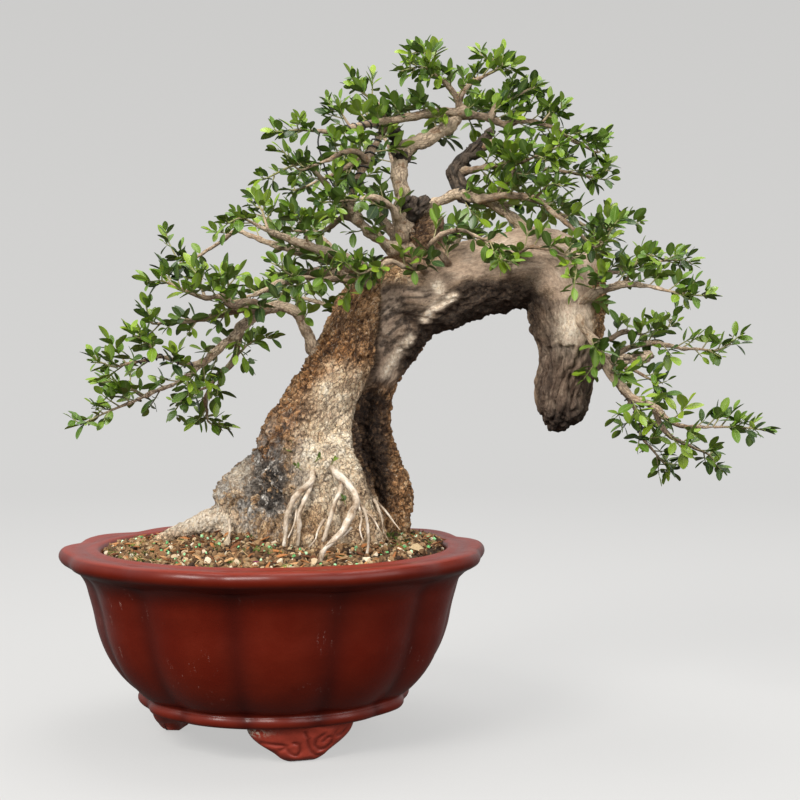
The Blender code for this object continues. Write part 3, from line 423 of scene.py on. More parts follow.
def smooth_route(route: Route, step: float) -> np.ndarray:
    """A smooth line through the route's stations.

    Args:
        route: The stations, as (place, radius) pairs.
        step: The distance between the points of the line, in millimetres.

    Returns:
        One row of x, y, z and radius for each point.
    """
    knots = np.array([(*place, radius) for place, radius in route])
    spans = np.linalg.norm(np.diff(knots[:, :3], axis=0), axis=1)
    slopes = np.diff(knots, axis=0) / spans[:, None]
    before, after = spans[:-1, None], spans[1:, None]
    tangents = np.empty_like(knots)
    tangents[0] = slopes[0]
    tangents[1:-1] = (slopes[:-1] * after + slopes[1:] * before) / (before + after)
    tangents[-1] = slopes[-1]
    rows = []
    for index, span in enumerate(spans):
        count = max(1, round(span / step))
        t = (np.arange(count) / count)[:, None]
        first = (2 * t**3 - 3 * t**2 + 1) * knots[index] + (t**3 - 2 * t**2 + t) * span * tangents[index]
        second = (3 * t**2 - 2 * t**3) * knots[index + 1] + (t**3 - t**2) * span * tangents[index + 1]
        rows.append(first + second)
    rows.append(knots[-1:])
    return np.concatenate(rows)


def frames_along(places: np.ndarray) -> tuple[np.ndarray, np.ndarray, np.ndarray]:
    """Unit vectors along a line and two across it, which turn with it and never spin.

    Args:
        places: The line's points.

    Returns:
        The vectors along, across and up from the line, at each point.
    """
    along = np.gradient(places, axis=0)
    along /= np.linalg.norm(along, axis=1)[:, None]
    side = np.cross(along[0], (0.0, 1.0, 0.03))
    sides = []
    for direction in along:
        side = side - direction * side.dot(direction)
        side = side / np.linalg.norm(side)
        sides.append(side)
    across = np.array(sides)
    return along, across, np.cross(along, across)


def reach_along(line: np.ndarray) -> np.ndarray:
    """How far along the line each of its points lies, from 0."""
    return np.concatenate(((0.0,), np.cumsum(np.linalg.norm(np.diff(line[:, :3], axis=0), axis=1))))


def sideways(along: Vector) -> Vector:
    """A level unit vector across this direction."""
    side = along.cross(UP)
    return side.normalized() if side.length > 0.1 else Vector((1.0, 0.0, 0.0))


def held(value: np.ndarray) -> np.ndarray:
    """The values held between 0 and 1."""
    return np.clip(value, 0.0, 1.0)


def ring_faces(first: int, rings: int, sides: int, turned: bool = False, joined: bool = False) -> Faces:
    """The four-sided faces between closed rings of points that follow one another.

    Args:
        first: The first ring's first point.
        rings: How many rings there are.
        sides: How many points a ring has.
        turned: Whether the faces are wound the other way round.
        joined: Whether the last ring is joined to the first one.

    Returns:
        The faces.
    """
    faces: Faces = []
    for ring in range(rings if joined else rings - 1):
        near, far = first + ring * sides, first + (ring + 1) % rings * sides
        for side in range(sides):
            after = (side + 1) % sides
            if turned:
                faces.append((near + side, near + after, far + after, far + side))
            else:
                faces.append((near + side, far + side, far + after, near + after))
    return faces


def ease(value: np.ndarray, low: float, high: float) -> np.ndarray:
    """0 below low, 1 above high, and a smooth step between them."""
    t = held((value - low) / (high - low))
    return t * t * (3 - 2 * t)


def lumps(points: np.ndarray, size: float | Triple, octaves: int = 3, seed: float = 0.0) -> np.ndarray:
    """Fractal noise of about -1 to 1.

    Args:
        points: Where it is taken, in millimetres.
        size: How far apart its lumps are, in millimetres, alike or along each axis.
        octaves: How many finer copies it has.
        seed: Moves it elsewhere in the noise.

    Returns:
        One value for each point.
    """
    scaled = points / np.array(size) + seed
    return np.array([noise.fractal(Vector(row), 1.0, 2.0, octaves) for row in scaled.tolist()])


def strands(points: np.ndarray, size: Triple, seed: float = 0.0) -> np.ndarray:
    """Ridged noise of about 0 in a groove to 1 on a strand's back, long where size is long."""
    wander = np.stack(
        (lumps(points, 40.0, 2, seed + 3.1), lumps(points, 40.0, 2, seed + 8.7), np.zeros(len(points))),
        axis=1
    )
    scaled = (points + wander * 6.0) / np.array(size) + seed
    ridged = np.array(
        [noise.noise(Vector(row)) + 0.35 * noise.noise(Vector(row) * 2.3) for row in scaled.tolist()]
    )
    return held(np.abs(ridged) * 3.2)


def plates(points: np.ndarray, size: Triple, seed: float = 0.0) -> tuple[np.ndarray, np.ndarray]:
    """Cells like the plates of old bark.

    Args:
        points: Where they are taken, in millimetres.
        size: How wide and long a plate is, in millimetres.
        seed: Moves them elsewhere in the noise.

    Returns:
        How far each point is from its plate's edge, from 0, and its plate's own value from 0 to 1.
    """
    wander = np.stack([lumps(points, 14.0, 2, seed + shift) for shift in (1.3, 5.9, 9.2)], axis=1)
    scaled = (points + wander * 3.4) / np.array(size) + seed
    edges, values = [], []
    for row in scaled.tolist():
        distances, centres = noise.voronoi(Vector(row))
        edges.append(distances[1] - distances[0])
        values.append(noise.cell(centres[0] * 7.31 + Vector((3.3, 1.7, 5.1))))
    return np.array(edges), np.array(values)


# Meshes


@dataclass
class Draft:
    """A mesh being put together in millimetres, with named values on its points."""

    points: list[np.ndarray] = field(default_factory=list)
    faces: Faces = field(default_factory=list)
    values: dict[str, list[np.ndarray]] = field(default_factory=dict)
    count: int = 0

    def add(self, points: np.ndarray, faces: Iterable[tuple[int, ...]], **values: np.ndarray) -> None:
        """Adds points, the faces between them, and the points' values."""
        self.faces.extend(tuple(index + self.count for index in face) for face in faces)
        self.points.append(points)
        self.count += len(points)
        for name, value in values.items():
            self.values.setdefault(name, []).append(value)

    def tube(self, line: np.ndarray, sides: int, **values: float) -> None:
        """Adds a round tapering tube with rounded ends.

        Args:
            line: Rows of x, y, z and radius.
            sides: How many sides it has.
            values: Named values, the same on all its points.
        """
        along, across, up = frames_along(line[:, :3])
        head = line[:1].copy()
        tail = line[-1:].copy()
        head[0, :3] -= along[0] * head[0, 3] * 0.55
        tail[0, :3] += along[-1] * tail[0, 3] * 0.55
        head[0, 3] *= 0.6
        tail[0, 3] *= 0.6
        rings = np.concatenate((head, line, tail))
        across = np.concatenate((across[:1], across, across[-1:]))
        up = np.concatenate((up[:1], up, up[-1:]))
        angles = np.arange(sides) * math.tau / sides
        ring_out = (
            across[:, None, :] * np.cos(angles)[None, :, None]
            + up[:, None, :] * np.sin(angles)[None, :, None]
        )
        body = rings[:, None, :3] + ring_out * rings[:, None, 3:4]
        reach = reach_along(rings)
        flat = np.stack((np.cos(angles), np.sin(angles)), axis=1)
        lengths = np.broadcast_to(reach[:, None, None], (len(rings), sides, 1))
        space = np.concatenate((flat[None, :, :] * rings[:, None, 3:4], lengths), axis=2)
        first_end = rings[0, :3] - along[0] * rings[0, 3] * 0.5
        last_end = rings[-1, :3] + along[-1] * rings[-1, 3] * 0.5
        end_space = np.array([(0.0, 0.0, -1.0), (0.0, 0.0, reach[-1] + 1.0)])
        shift = np.array([noise.random() for _ in range(3)]) * 400.0
        points = np.concatenate((body.reshape(-1, 3), (first_end, last_end)))
        total = len(rings) * sides
        last = total - sides
        faces = ring_faces(0, len(rings), sides, turned=True)
        for side in range(sides):
            after = (side + 1) % sides
            faces += [(total, after, side), (total + 1, last + side, last + after)]
        wood = np.concatenate((space.reshape(-1, 3), end_space)) + shift
        named = {name: np.full(len(points), value) for name, value in values.items()}
        self.add(points, faces, wood_space=wood, **named)

    def made(self, name: str, smooth: bool = True) -> Piece:
        """The finished mesh as an object in metres."""
        mesh = bpy.data.meshes.new(name)
        mesh.from_pydata((np.concatenate(self.points) * MM).tolist(), [], self.faces)
        for value_name, parts in self.values.items():
            put_values(mesh, value_name, np.concatenate(parts))
        if smooth:
            mesh.shade_smooth()
        return placed(name, mesh)

    def handed(self, name: str, finish: Material, slot: Slot, node: str, smooth: bool = True) -> Piece:
        """Makes the piece, gives it its finish and hands it over."""
        obj = self.made(name, smooth)
        obj.data.materials.append(finish)
        return hand_over(obj, slot, node)


def placed(name: str, data: bpy.types.ID) -> Piece:
    """A new object that holds this data."""
    obj = bpy.data.objects.new(name, data)
    bpy.context.scene.collection.objects.link(obj)
    return obj


def put_values(mesh: Mesh, name: str, values: np.ndarray) -> None:
    """Stores one number or vector for each of the mesh's points."""
    vectors = values.ndim == 2
    layer = mesh.attributes.new(name, "FLOAT_VECTOR" if vectors else "FLOAT", "POINT")
    layer.data.foreach_set("vector" if vectors else "value", values.astype(np.float32).ravel())


def points_of(mesh: Mesh) -> tuple[np.ndarray, np.ndarray]:
    """The mesh's points in millimetres, and their normals."""
    count = len(mesh.vertices)
    places = np.empty(count * 3, np.float32)
    normals = np.empty(count * 3, np.float32)
    mesh.vertices.foreach_get("co", places)
    mesh.vertex_normals.foreach_get("vector", normals)
    return places.reshape(-1, 3).astype(float) / MM, normals.reshape(-1, 3).astype(float)


def move_points(mesh: Mesh, places: np.ndarray) -> None:
    """Puts the mesh's points at these places, in millimetres."""
    mesh.vertices.foreach_set("co", (places * MM).astype(np.float32).ravel())
    mesh.update()


def baked(obj: Piece) -> Piece:
    """Turns what obj's modifiers make into its plain mesh."""
    bpy.context.view_layer.update()
    graph = bpy.context.evaluated_depsgraph_get()
    mesh = bpy.data.meshes.new_from_object(
        obj.evaluated_get(graph), preserve_all_data_layers=True, depsgraph=graph
    )
    obj.modifiers.clear()
    obj.data = mesh
    return obj


def hand_over(obj: Piece, slot: Slot, *nodes: str) -> Piece:
    """Fixes a finished piece to the part, in place of these CAD nodes, and reports it.

    Args:
        obj: The finished piece.
        slot: The material slot that its finish stands for; not used.
        nodes: The CAD nodes that it stands for.

    Returns:
        The same piece.
    """
    obj.data.validate()
    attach(obj, BODY)
    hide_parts(*nodes)
    log.info("%s: %d faces, for %s", obj.name, len(obj.data.polygons), ", ".join(nodes))
    return obj


# Finishes


class Bench:
    """Puts one material's nodes together."""

    def __init__(self, name: str) -> None:
        """Starts a material with one shader."""
        self.material = bpy.data.materials.new(name)
        self.material.use_nodes = True
        self.tree = self.material.node_tree
        self.shader = self.tree.nodes["Principled BSDF"]
        self.place = self.tree.nodes.new("ShaderNodeTexCoord").outputs["Object"]

    def node(self, kind: str, inputs: dict[str | int, Plug], **settings: str | bool | int) -> bpy.types.Node:
        """A new node with these settings and inputs."""
        made = self.tree.nodes.new(kind)
        for name, value in settings.items():
            setattr(made, name, value)
        for name, value in inputs.items():
            self.plug(made.inputs[name], value)
        return made

    def plug(self, socket: Socket, value: Plug) -> None:
        """Links a socket to another one, or sets its value."""
        if isinstance(value, Socket):
            self.tree.links.new(value, socket)
        elif socket.type == "RGBA" and len(value) == 3:
            socket.default_value = (*value, 1.0)
        else:
            socket.default_value = value

    def value(self, name: str) -> Socket:
        """A number stored on the mesh's points."""
        return self.node("ShaderNodeAttribute", {}, attribute_name=name).outputs["Fac"]

    def vector(self, name: str) -> Socket:
        """A vector stored on the mesh's points."""
        return self.node("ShaderNodeAttribute", {}, attribute_name=name).outputs["Vector"]

    def sized(self, place: Socket, size: float | Triple) -> Socket:
        """A place divided by a size in millimetres, so that one step of a pattern is that long.

        Args:
            place: The piece's own place, which is in metres, or a stored one, in millimetres.
            size: The size, alike or along each axis.

        Returns:
            The scaled place.
        """
        unit = 1 / MM if place == self.place else 1.0
        scale = tuple(unit / value for value in np.broadcast_to(size, 3).tolist())
        return self.node("ShaderNodeVectorMath", {0: place, 1: scale}, operation="MULTIPLY").outputs["Vector"]

    def noise(self, place: Socket, size: float | Triple, detail: float = 3.0, rough: float = 0.55) -> Socket:
        """Noise of 0 to 1, with lumps of this size in millimetres."""
        inputs = {"Vector": self.sized(place, size), "Scale": 1.0, "Detail": detail, "Roughness": rough}
        return self.node("ShaderNodeTexNoise", inputs).outputs["Fac"]

    def warped(self, place: Plug, amount: float, size: float = 1.0) -> Socket:
        """A place that noise has moved by about that amount."""
        colour = self.node(
            "ShaderNodeTexNoise", {"Vector": place, "Scale": size, "Detail": 2.0}
        ).outputs["Color"]
        centred = self.node(
            "ShaderNodeVectorMath", {0: colour, 1: (0.5, 0.5, 0.5)}, operation="SUBTRACT"
        ).outputs["Vector"]
        spread = self.node(
            "ShaderNodeVectorMath", {0: centred, "Scale": amount * 2}, operation="SCALE"
        ).outputs["Vector"]
        return self.node("ShaderNodeVectorMath", {0: place, 1: spread}, operation="ADD").outputs["Vector"]

    def cracks(self, place: Plug, width: float) -> Socket:
        """0 on the lines between cells and 1 inside them."""
        edge = self.node(
            "ShaderNodeTexVoronoi", {"Vector": place, "Scale": 1.0}, feature="DISTANCE_TO_EDGE"
        ).outputs["Distance"]
        return self.fit(edge, 0.0, width, 0.0, 1.0)

    def cells(self, place: Plug) -> Socket:
        """One random number from 0 to 1 for each cell."""
        colour = self.node("ShaderNodeTexVoronoi", {"Vector": place, "Scale": 1.0}).outputs["Color"]
        return self.node("ShaderNodeSeparateColor", {0: colour}).outputs[0]

    def fit(self, value: Plug, low: float, high: float, to_low: float = 0.0, to_high: float = 1.0) -> Socket:
        """Carries a value from one range to another, smoothly and held inside it."""
        inputs = {"Value": value, "From Min": low, "From Max": high, "To Min": to_low, "To Max": to_high}
        return self.node("ShaderNodeMapRange", inputs, interpolation_type="SMOOTHSTEP").outputs["Result"]

    def maths(self, kind: str, first: Plug, second: Plug = 0.0) -> Socket:
        """One sum of two values."""
        return self.node("ShaderNodeMath", {0: first, 1: second}, operation=kind).outputs[0]

    def times(self, first: Plug, second: Plug) -> Socket:
        """Two values multiplied."""
        return self.maths("MULTIPLY", first, second)

    def mix(self, share: Plug, first: Plug, second: Plug, blend: str = "MIX") -> Socket:
        """Two colours mixed."""
        made = self.tree.nodes.new("ShaderNodeMix")
        made.data_type = "RGBA"
        made.blend_type = blend
        self.plug(made.inputs[0], share)
        self.plug(made.inputs[6], first)
        self.plug(made.inputs[7], second)
        return made.outputs[2]

    def ramp(self, value: Plug, *stops: tuple[float, Colour]) -> Socket:
        """A colour for each value, eased between the stops."""
        made = self.node("ShaderNodeValToRGB", {"Fac": value})
        made.color_ramp.interpolation = "EASE"
        elements = made.color_ramp.elements
        while len(elements) < len(stops):
            elements.new(0.5)
        for element, (position, colour) in zip(elements, stops):
            element.position = position
            element.color = (*colour, 1.0)
        return made.outputs["Color"]

    def bump(self, height: Plug, depth: float, under: Socket | None = None) -> Socket:
        """A relief of this depth in millimetres, over another one."""
        inputs: dict[str | int, Plug] = {"Height": height, "Distance": depth * MM, "Strength": 1.0}
        if under is not None:
            inputs["Normal"] = under
        return self.node("ShaderNodeBump", inputs).outputs["Normal"]

    def finish(self, colour: Plug, rough: Plug, normal: Plug | None = None, **numbers: float) -> Material:
        """Wires up the shader and returns the material."""
        self.plug(self.shader.inputs["Base Color"], colour)
        self.plug(self.shader.inputs["Roughness"], rough)
        if normal is not None:
            self.plug(self.shader.inputs["Normal"], normal)
        for name, value in numbers.items():
            self.shader.inputs[name.replace("_", " ").title().replace("Ior", "IOR")].default_value = value
        return self.material


@dataclass(frozen=True)
class TrunkFinish:
    """Old olive bark: pale plates, rust-brown flakes, grey lichen, charred wood, painted shade in the hollows
    and under the arch, and bare heartwood.
    """

    cream: Colour = (0.80, 0.60, 0.385)
    tan: Colour = (0.60, 0.375, 0.185)
    brown: Colour = (0.29, 0.145, 0.060)
    gap: Colour = (0.050, 0.025, 0.013)
    rust: Colour = (0.42, 0.200, 0.075)
    heart: Colour = (0.40, 0.290, 0.205)
    heart_dark: Colour = (0.16, 0.100, 0.070)
    ash: Colour = (0.64, 0.61, 0.56)
    soot_and_shade: Colour = (0.016, 0.011, 0.009)

    def build(self) -> Material:
        """Builds the material."""
        bench = Bench("trunk_bark")
        wood = bench.vector("wood_space")
        broad = bench.noise(wood, (22.0, 22.0, 34.0), 4.0)
        grain = bench.noise(wood, (2.2, 2.2, 4.0), 4.0, 0.7)
        fibre = bench.noise(bench.warped(wood, 3.0, 0.05), (2.6, 2.6, 46.0), 4.0, 0.65)
        fine = bench.cracks(bench.warped(bench.sized(wood, (4.4, 4.4, 6.6)), 0.55, 1.4), 0.11)
        finer = bench.cracks(bench.warped(bench.sized(wood, (1.9, 1.9, 2.6)), 0.5, 1.6), 0.16)
        flake = bench.cells(bench.warped(bench.sized(wood, (3.4, 3.4, 4.4)), 0.6, 1.2))

        tone = bench.maths("ADD", bench.times(bench.value("plate"), 0.45), bench.times(flake, 0.35))
        tone = bench.maths("ADD", tone, bench.times(bench.fit(broad, 0.3, 0.7), 0.35))
        bark = bench.ramp(tone, (0.12, self.brown), (0.45, self.tan), (0.85, self.cream))
        pale = bench.ramp(
            tone, (0.0, (0.66, 0.45, 0.255)), (0.30, (0.82, 0.645, 0.44)), (0.80, (0.93, 0.80, 0.61))
        )
        bark = bench.mix(bench.value("cream"), bark, pale)
        rusty = bench.ramp(tone, (0.15, (0.10, 0.045, 0.020)), (0.5, self.rust), (0.95, (0.70, 0.43, 0.21)))
        bark = bench.mix(bench.value("rust"), bark, rusty)

        bare = bench.ramp(
            bench.maths("ADD", bench.times(fibre, 0.42), bench.times(broad, 0.62)),
            (0.30, self.heart_dark), (0.47, self.heart), (0.70, (0.53, 0.42, 0.32)),
        )
        colour = bench.mix(bench.value("heart"), bark, bare)
        strand = bench.ramp(
            fibre, (0.30, (0.050, 0.028, 0.017)), (0.50, (0.155, 0.105, 0.072)), (0.72, (0.36, 0.27, 0.195))
        )
        colour = bench.mix(bench.value("fibre"), colour, strand)

        cracked = bench.times(fine, bench.fit(finer, 0.0, 1.0, 0.62, 1.0))
        plated = bench.maths(
            "SUBTRACT", 1.0, bench.maths("MAXIMUM", bench.value("heart"), bench.value("fibre"))
        )
        line = bench.times(bench.maths("SUBTRACT", 1.0, cracked), bench.fit(plated, 0.0, 1.0, 0.1, 0.85))
        ragged = bench.noise(wood, (5.5, 5.5, 8.0), 4.0, 0.7)
        line = bench.times(line, bench.fit(ragged, 0.34, 0.56, 0.12, 1.0))
        line = bench.times(line, bench.fit(bench.value("cream"), 0.2, 1.0, 1.0, 0.85))
        colour = bench.mix(line, colour, self.gap)
        pits = bench.noise(bench.warped(wood, 2.0, 0.2), (2.6, 2.6, 3.4), 5.0, 0.75)
        pitted = bench.times(plated, bench.fit(bench.value("cream"), 0.2, 1.0, 1.0, 0.55))
        colour = bench.mix(bench.times(bench.fit(pits, 0.45, 0.38, 0.0, 0.9), pitted), colour, self.gap)
        fleck = bench.times(bench.fit(pits, 0.56, 0.66, 0.0, 0.6), plated)
        colour = bench.mix(fleck, colour, (0.76, 0.64, 0.48))
        colour = bench.mix(bench.fit(bench.value("crack"), 0.0, 0.75, 0.80, 0.0), colour, self.gap)

        patch = bench.noise(wood, 17.0, 7.0, 0.72)
        ashy = bench.times(bench.value("lichen"), bench.fit(patch, 0.46, 0.55, 0.0, 0.92))
        spill = bench.noise(bench.warped(wood, 4.0, 0.1), (9.0, 9.0, 12.0), 6.0, 0.7)
        sooty = bench.times(bench.value("black"), bench.fit(spill, 0.57, 0.50, 0.0, 0.98))
        colour = bench.mix(
            ashy, colour, bench.mix(bench.fit(grain, 0.3, 0.7), (0.20, 0.185, 0.165), self.ash)
        )
        colour = bench.mix(
            sooty, colour, bench.mix(bench.fit(pits, 0.4, 0.62), (0.014, 0.012, 0.011), (0.12, 0.098, 0.080))
        )
        paled = bench.times(bench.value("pale"), bench.fit(ragged, 0.34, 0.48, 0.30, 0.97))
        colour = bench.mix(
            paled, colour, bench.mix(bench.fit(pits, 0.3, 0.6), (0.42, 0.32, 0.23), (0.80, 0.68, 0.53))
        )
        # Char, and painted shade under the arch, in the hollow and in the recess, in one dark mix
        scorch = bench.times(bench.value("scorch"), bench.fit(grain, 0.25, 0.75, 1.0, 0.80))
        colour = bench.mix(
            scorch, colour, bench.mix(bench.fit(pits, 0.42, 0.74), self.soot_and_shade, (0.080, 0.046, 0.029))
        )
        colour = bench.mix(
            0.85, colour, bench.ramp(grain, (0.3, (0.34, 0.335, 0.33)), (0.7, (0.66, 0.66, 0.66))), "OVERLAY"
        )

        relief = bench.bump(grain, 1.0)
        woody = bench.fit(bench.value("heart"), 0.0, 1.0, 1.0, 0.35)
        woody = bench.times(woody, bench.fit(plated, 0.0, 1.0, 1.0, 0.0))
        relief = bench.bump(bench.times(fibre, woody), 2.2, relief)
        relief = bench.bump(bench.times(cracked, plated), 1.5, relief)
        relief = bench.bump(bench.times(flake, plated), 0.7, relief)
        relief = bench.bump(pits, 1.6, relief)
        return bench.finish(colour, bench.fit(grain, 0.2, 0.8, 0.93, 0.74), relief, specular_ior_level=0.28)


@dataclass(frozen=True)
class LimbFinish:
    """Grey-tan bark of the branches, with short creases, knots and flaking brown spots."""

    name: str = "limb_bark"
    light: Colour = (0.43, 0.325, 0.225)
    middle: Colour = (0.265, 0.188, 0.124)
    dark: Colour = (0.115, 0.078, 0.052)
    warm: Colour = (0.25, 0.140, 0.070)
    pale_root: Colour = (0.64, 0.565, 0.47)
    stout: Colour = (0.56, 0.43, 0.30)

    def build(self) -> Material:
        """Builds the material."""
        bench = Bench(self.name)
        wood = bench.vector("wood_space")
        broad = bench.noise(wood, (9.0, 9.0, 16.0), 4.0, 0.6)
        grain = bench.noise(wood, (1.3, 1.3, 2.6), 4.0, 0.7)
        rings = bench.noise(bench.warped(wood, 1.2, 0.3), (7.0, 7.0, 0.9), 2.0)
        split = bench.cracks(bench.warped(bench.sized(wood, (2.4, 2.4, 5.4)), 0.5, 1.3), 0.14)
        spot = bench.fit(bench.noise(wood, 6.5, 3.0), 0.56, 0.66, 0.0, 0.75)

        colour = bench.ramp(broad, (0.30, self.dark), (0.46, self.middle), (0.66, self.light))
        colour = bench.mix(bench.fit(bench.value("old"), 0.7, 1.0, 0.0, 0.78), colour, self.stout)
        colour = bench.mix(spot, colour, self.warm)
        colour = bench.mix(bench.fit(bench.value("green"), 0.0, 1.0, 0.0, 0.9), colour, (0.21, 0.24, 0.075))
        rooty = bench.ramp(
            broad, (0.36, (0.23, 0.155, 0.095)), (0.50, (0.46, 0.37, 0.275)), (0.62, self.pale_root)
        )
        colour = bench.mix(bench.value("rooty"), colour, rooty)
        crease = bench.times(bench.maths("SUBTRACT", 1.0, split), bench.value("old"))
        crease = bench.times(crease, bench.fit(broad, 0.40, 0.60, 0.65, 0.05))
        colour = bench.mix(crease, colour, (0.06, 0.036, 0.022))
        colour = bench.mix(bench.fit(rings, 0.62, 0.72, 0.0, 0.35), colour, self.dark)
        colour = bench.mix(
            0.45, colour, bench.ramp(grain, (0.3, (0.36, 0.36, 0.36)), (0.7, (0.64, 0.64, 0.64))), "OVERLAY"
        )
        char = bench.ramp(broad, (0.40, (0.010, 0.009, 0.008)), (0.62, (0.072, 0.050, 0.037)))
        colour = bench.mix(bench.times(bench.value("scorch"), 0.94), colour, char)
        colour = bench.mix(
            bench.fit(bench.value("crack"), 0.0, 0.75, 0.85, 0.0), colour, (0.03, 0.018, 0.012)
        )

        relief = bench.bump(grain, 0.35)
        relief = bench.bump(bench.times(split, bench.value("old")), 0.7, relief)
        relief = bench.bump(rings, 0.25, relief)
        return bench.finish(colour, bench.fit(grain, 0.2, 0.8, 0.88, 0.66), relief, specular_ior_level=0.3)


@dataclass(frozen=True)
class LeafFinish:
    """Leathery olive leaves, from dark old ones to yellow-green new ones."""

    old: Colour = (0.020, 0.048, 0.010)
    grown: Colour = (0.070, 0.142, 0.007)
    young: Colour = (0.160, 0.250, 0.010)
    new: Colour = (0.205, 0.290, 0.016)
    under: Colour = (0.150, 0.215, 0.060)
    rib: Colour = (0.28, 0.36, 0.12)

    def build(self) -> Material:
        """Builds the material."""
        bench = Bench("olive_leaf")
        tint = bench.value("tint")
        along = bench.value("leaf_along")
        across = bench.maths("ABSOLUTE", bench.value("leaf_across"))
        colour = bench.ramp(tint, (0.05, self.old), (0.38, self.grown), (0.72, self.young), (1.0, self.new))
        blotch = bench.noise(bench.place, 4.0, 2.0)
        colour = bench.mix(
            0.35, colour, bench.ramp(blotch, (0.3, (0.36, 0.40, 0.36)), (0.7, (0.66, 0.62, 0.60))), "OVERLAY"
        )
        slant = bench.maths(
            "SINE", bench.times(bench.maths("SUBTRACT", along, bench.times(across, 0.16)), 62.0)
        )
        vein = bench.fit(slant, 0.55, 1.0, 0.0, 0.22)
        midrib = bench.fit(across, 0.05, 0.16, 0.55, 0.0)
        colour = bench.mix(bench.maths("MAXIMUM", vein, midrib), colour, bench.mix(0.5, self.rib, colour))
        colour = bench.mix(bench.times(bench.value("leaf_under"), 0.6), colour, self.under)
        relief = bench.bump(bench.maths("MAXIMUM", midrib, vein), 0.25)
        return bench.finish(
            colour, bench.fit(blotch, 0.3, 0.7, 0.32, 0.48), relief, specular_ior_level=0.34,
            coat_weight=0.10, coat_roughness=0.18
        )


@dataclass(frozen=True)
class ClayFinish:
    """Oxblood clay with a satin face, painted shade in the creases, and a bloom of minerals low down."""

    body: Colour = (0.086, 0.0060, 0.0018)
    warm: Colour = (0.104, 0.0088, 0.0026)
    crease_shade: Colour = (0.036, 0.0036, 0.0022)
    ledge: Colour = (0.165, 0.0170, 0.0070)
    foot: Colour = (0.245, 0.0340, 0.0200)
    chalk: Colour = (0.62, 0.42, 0.36)

    def build(self) -> Material:
        """Builds the material."""
        bench = Bench("oxblood_clay")
        place = bench.place
        cloud = bench.noise(place, 46.0, 4.0)
        speck = bench.noise(place, 1.1, 3.0, 0.7)
        streak = bench.noise(place, (5.0, 5.0, 46.0), 4.0, 0.7)
        sparse = bench.noise(place, 62.0, 1.0)
        colour = bench.ramp(cloud, (0.30, self.body), (0.70, self.warm))
        colour = bench.mix(bench.value("flat_top"), colour, self.ledge)
        colour = bench.mix(bench.value("foot_part"), colour, self.foot)
        # Painted shade in the creases between the lobes and in the feet's grooves
        colour = bench.mix(bench.times(bench.value("crease"), 0.6), colour, self.crease_shade)
        dusty = bench.times(bench.fit(streak, 0.60, 0.72, 0.0, 0.6), bench.fit(speck, 0.50, 0.62))
        dusty = bench.times(dusty, bench.fit(sparse, 0.50, 0.62))
        colour = bench.mix(bench.times(dusty, bench.value("wall")), colour, self.chalk)
        crumbs = bench.noise(place, 3.2, 5.0, 0.7)
        crust = bench.times(bench.value("crust"), bench.fit(crumbs, 0.46, 0.54, 0.0, 0.85))
        colour = bench.mix(crust, colour, (0.50, 0.43, 0.34))
        shade = bench.ramp(speck, (0.3, (0.42, 0.42, 0.42)), (0.7, (0.58, 0.58, 0.58)))
        colour = bench.mix(0.3, colour, shade, "OVERLAY")
        rough = bench.maths("ADD", bench.fit(cloud, 0.3, 0.7, 0.30, 0.40), bench.times(dusty, 0.3))
        rough = bench.maths("ADD", rough, bench.times(bench.value("flat_top"), 0.10))
        relief = bench.bump(speck, 0.10)
        relief = bench.bump(cloud, 1.2, relief)
        return bench.finish(
            colour, rough, relief, specular_ior_level=0.20, coat_weight=0.09, coat_roughness=0.16
        )


@dataclass(frozen=True)
class GritFinish:
    """Grit and the other small pieces on the soil, one tint to a piece."""

    name: str
    stops: Stops
    rough: float = 0.92

    def build(self) -> Material:
        """Builds the material."""
        bench = Bench(self.name)
        speck = bench.noise(bench.place, 0.8, 3.0, 0.7)
        colour = bench.ramp(bench.value("tint"), *self.stops)
        colour = bench.mix(
            0.6, colour, bench.ramp(speck, (0.3, (0.34, 0.34, 0.34)), (0.7, (0.64, 0.64, 0.64))), "OVERLAY"
        )
        return bench.finish(colour, self.rough, bench.bump(speck, 0.3), specular_ior_level=0.25)


@dataclass(frozen=True)
class PlainFinish:
    """One colour with a fine tooth."""

    name: str
    colour: Colour
    rough: float
    tooth: float = 0.1

    def build(self) -> Material:
        """Builds the material."""
        bench = Bench(self.name)
        speck = bench.noise(bench.place, 1.5)
        darker = tuple(value * 0.7 for value in self.colour)
        colour = bench.mix(speck, darker, self.colour)
        return bench.finish(colour, self.rough, bench.bump(speck, self.tooth))


# Geometry Nodes


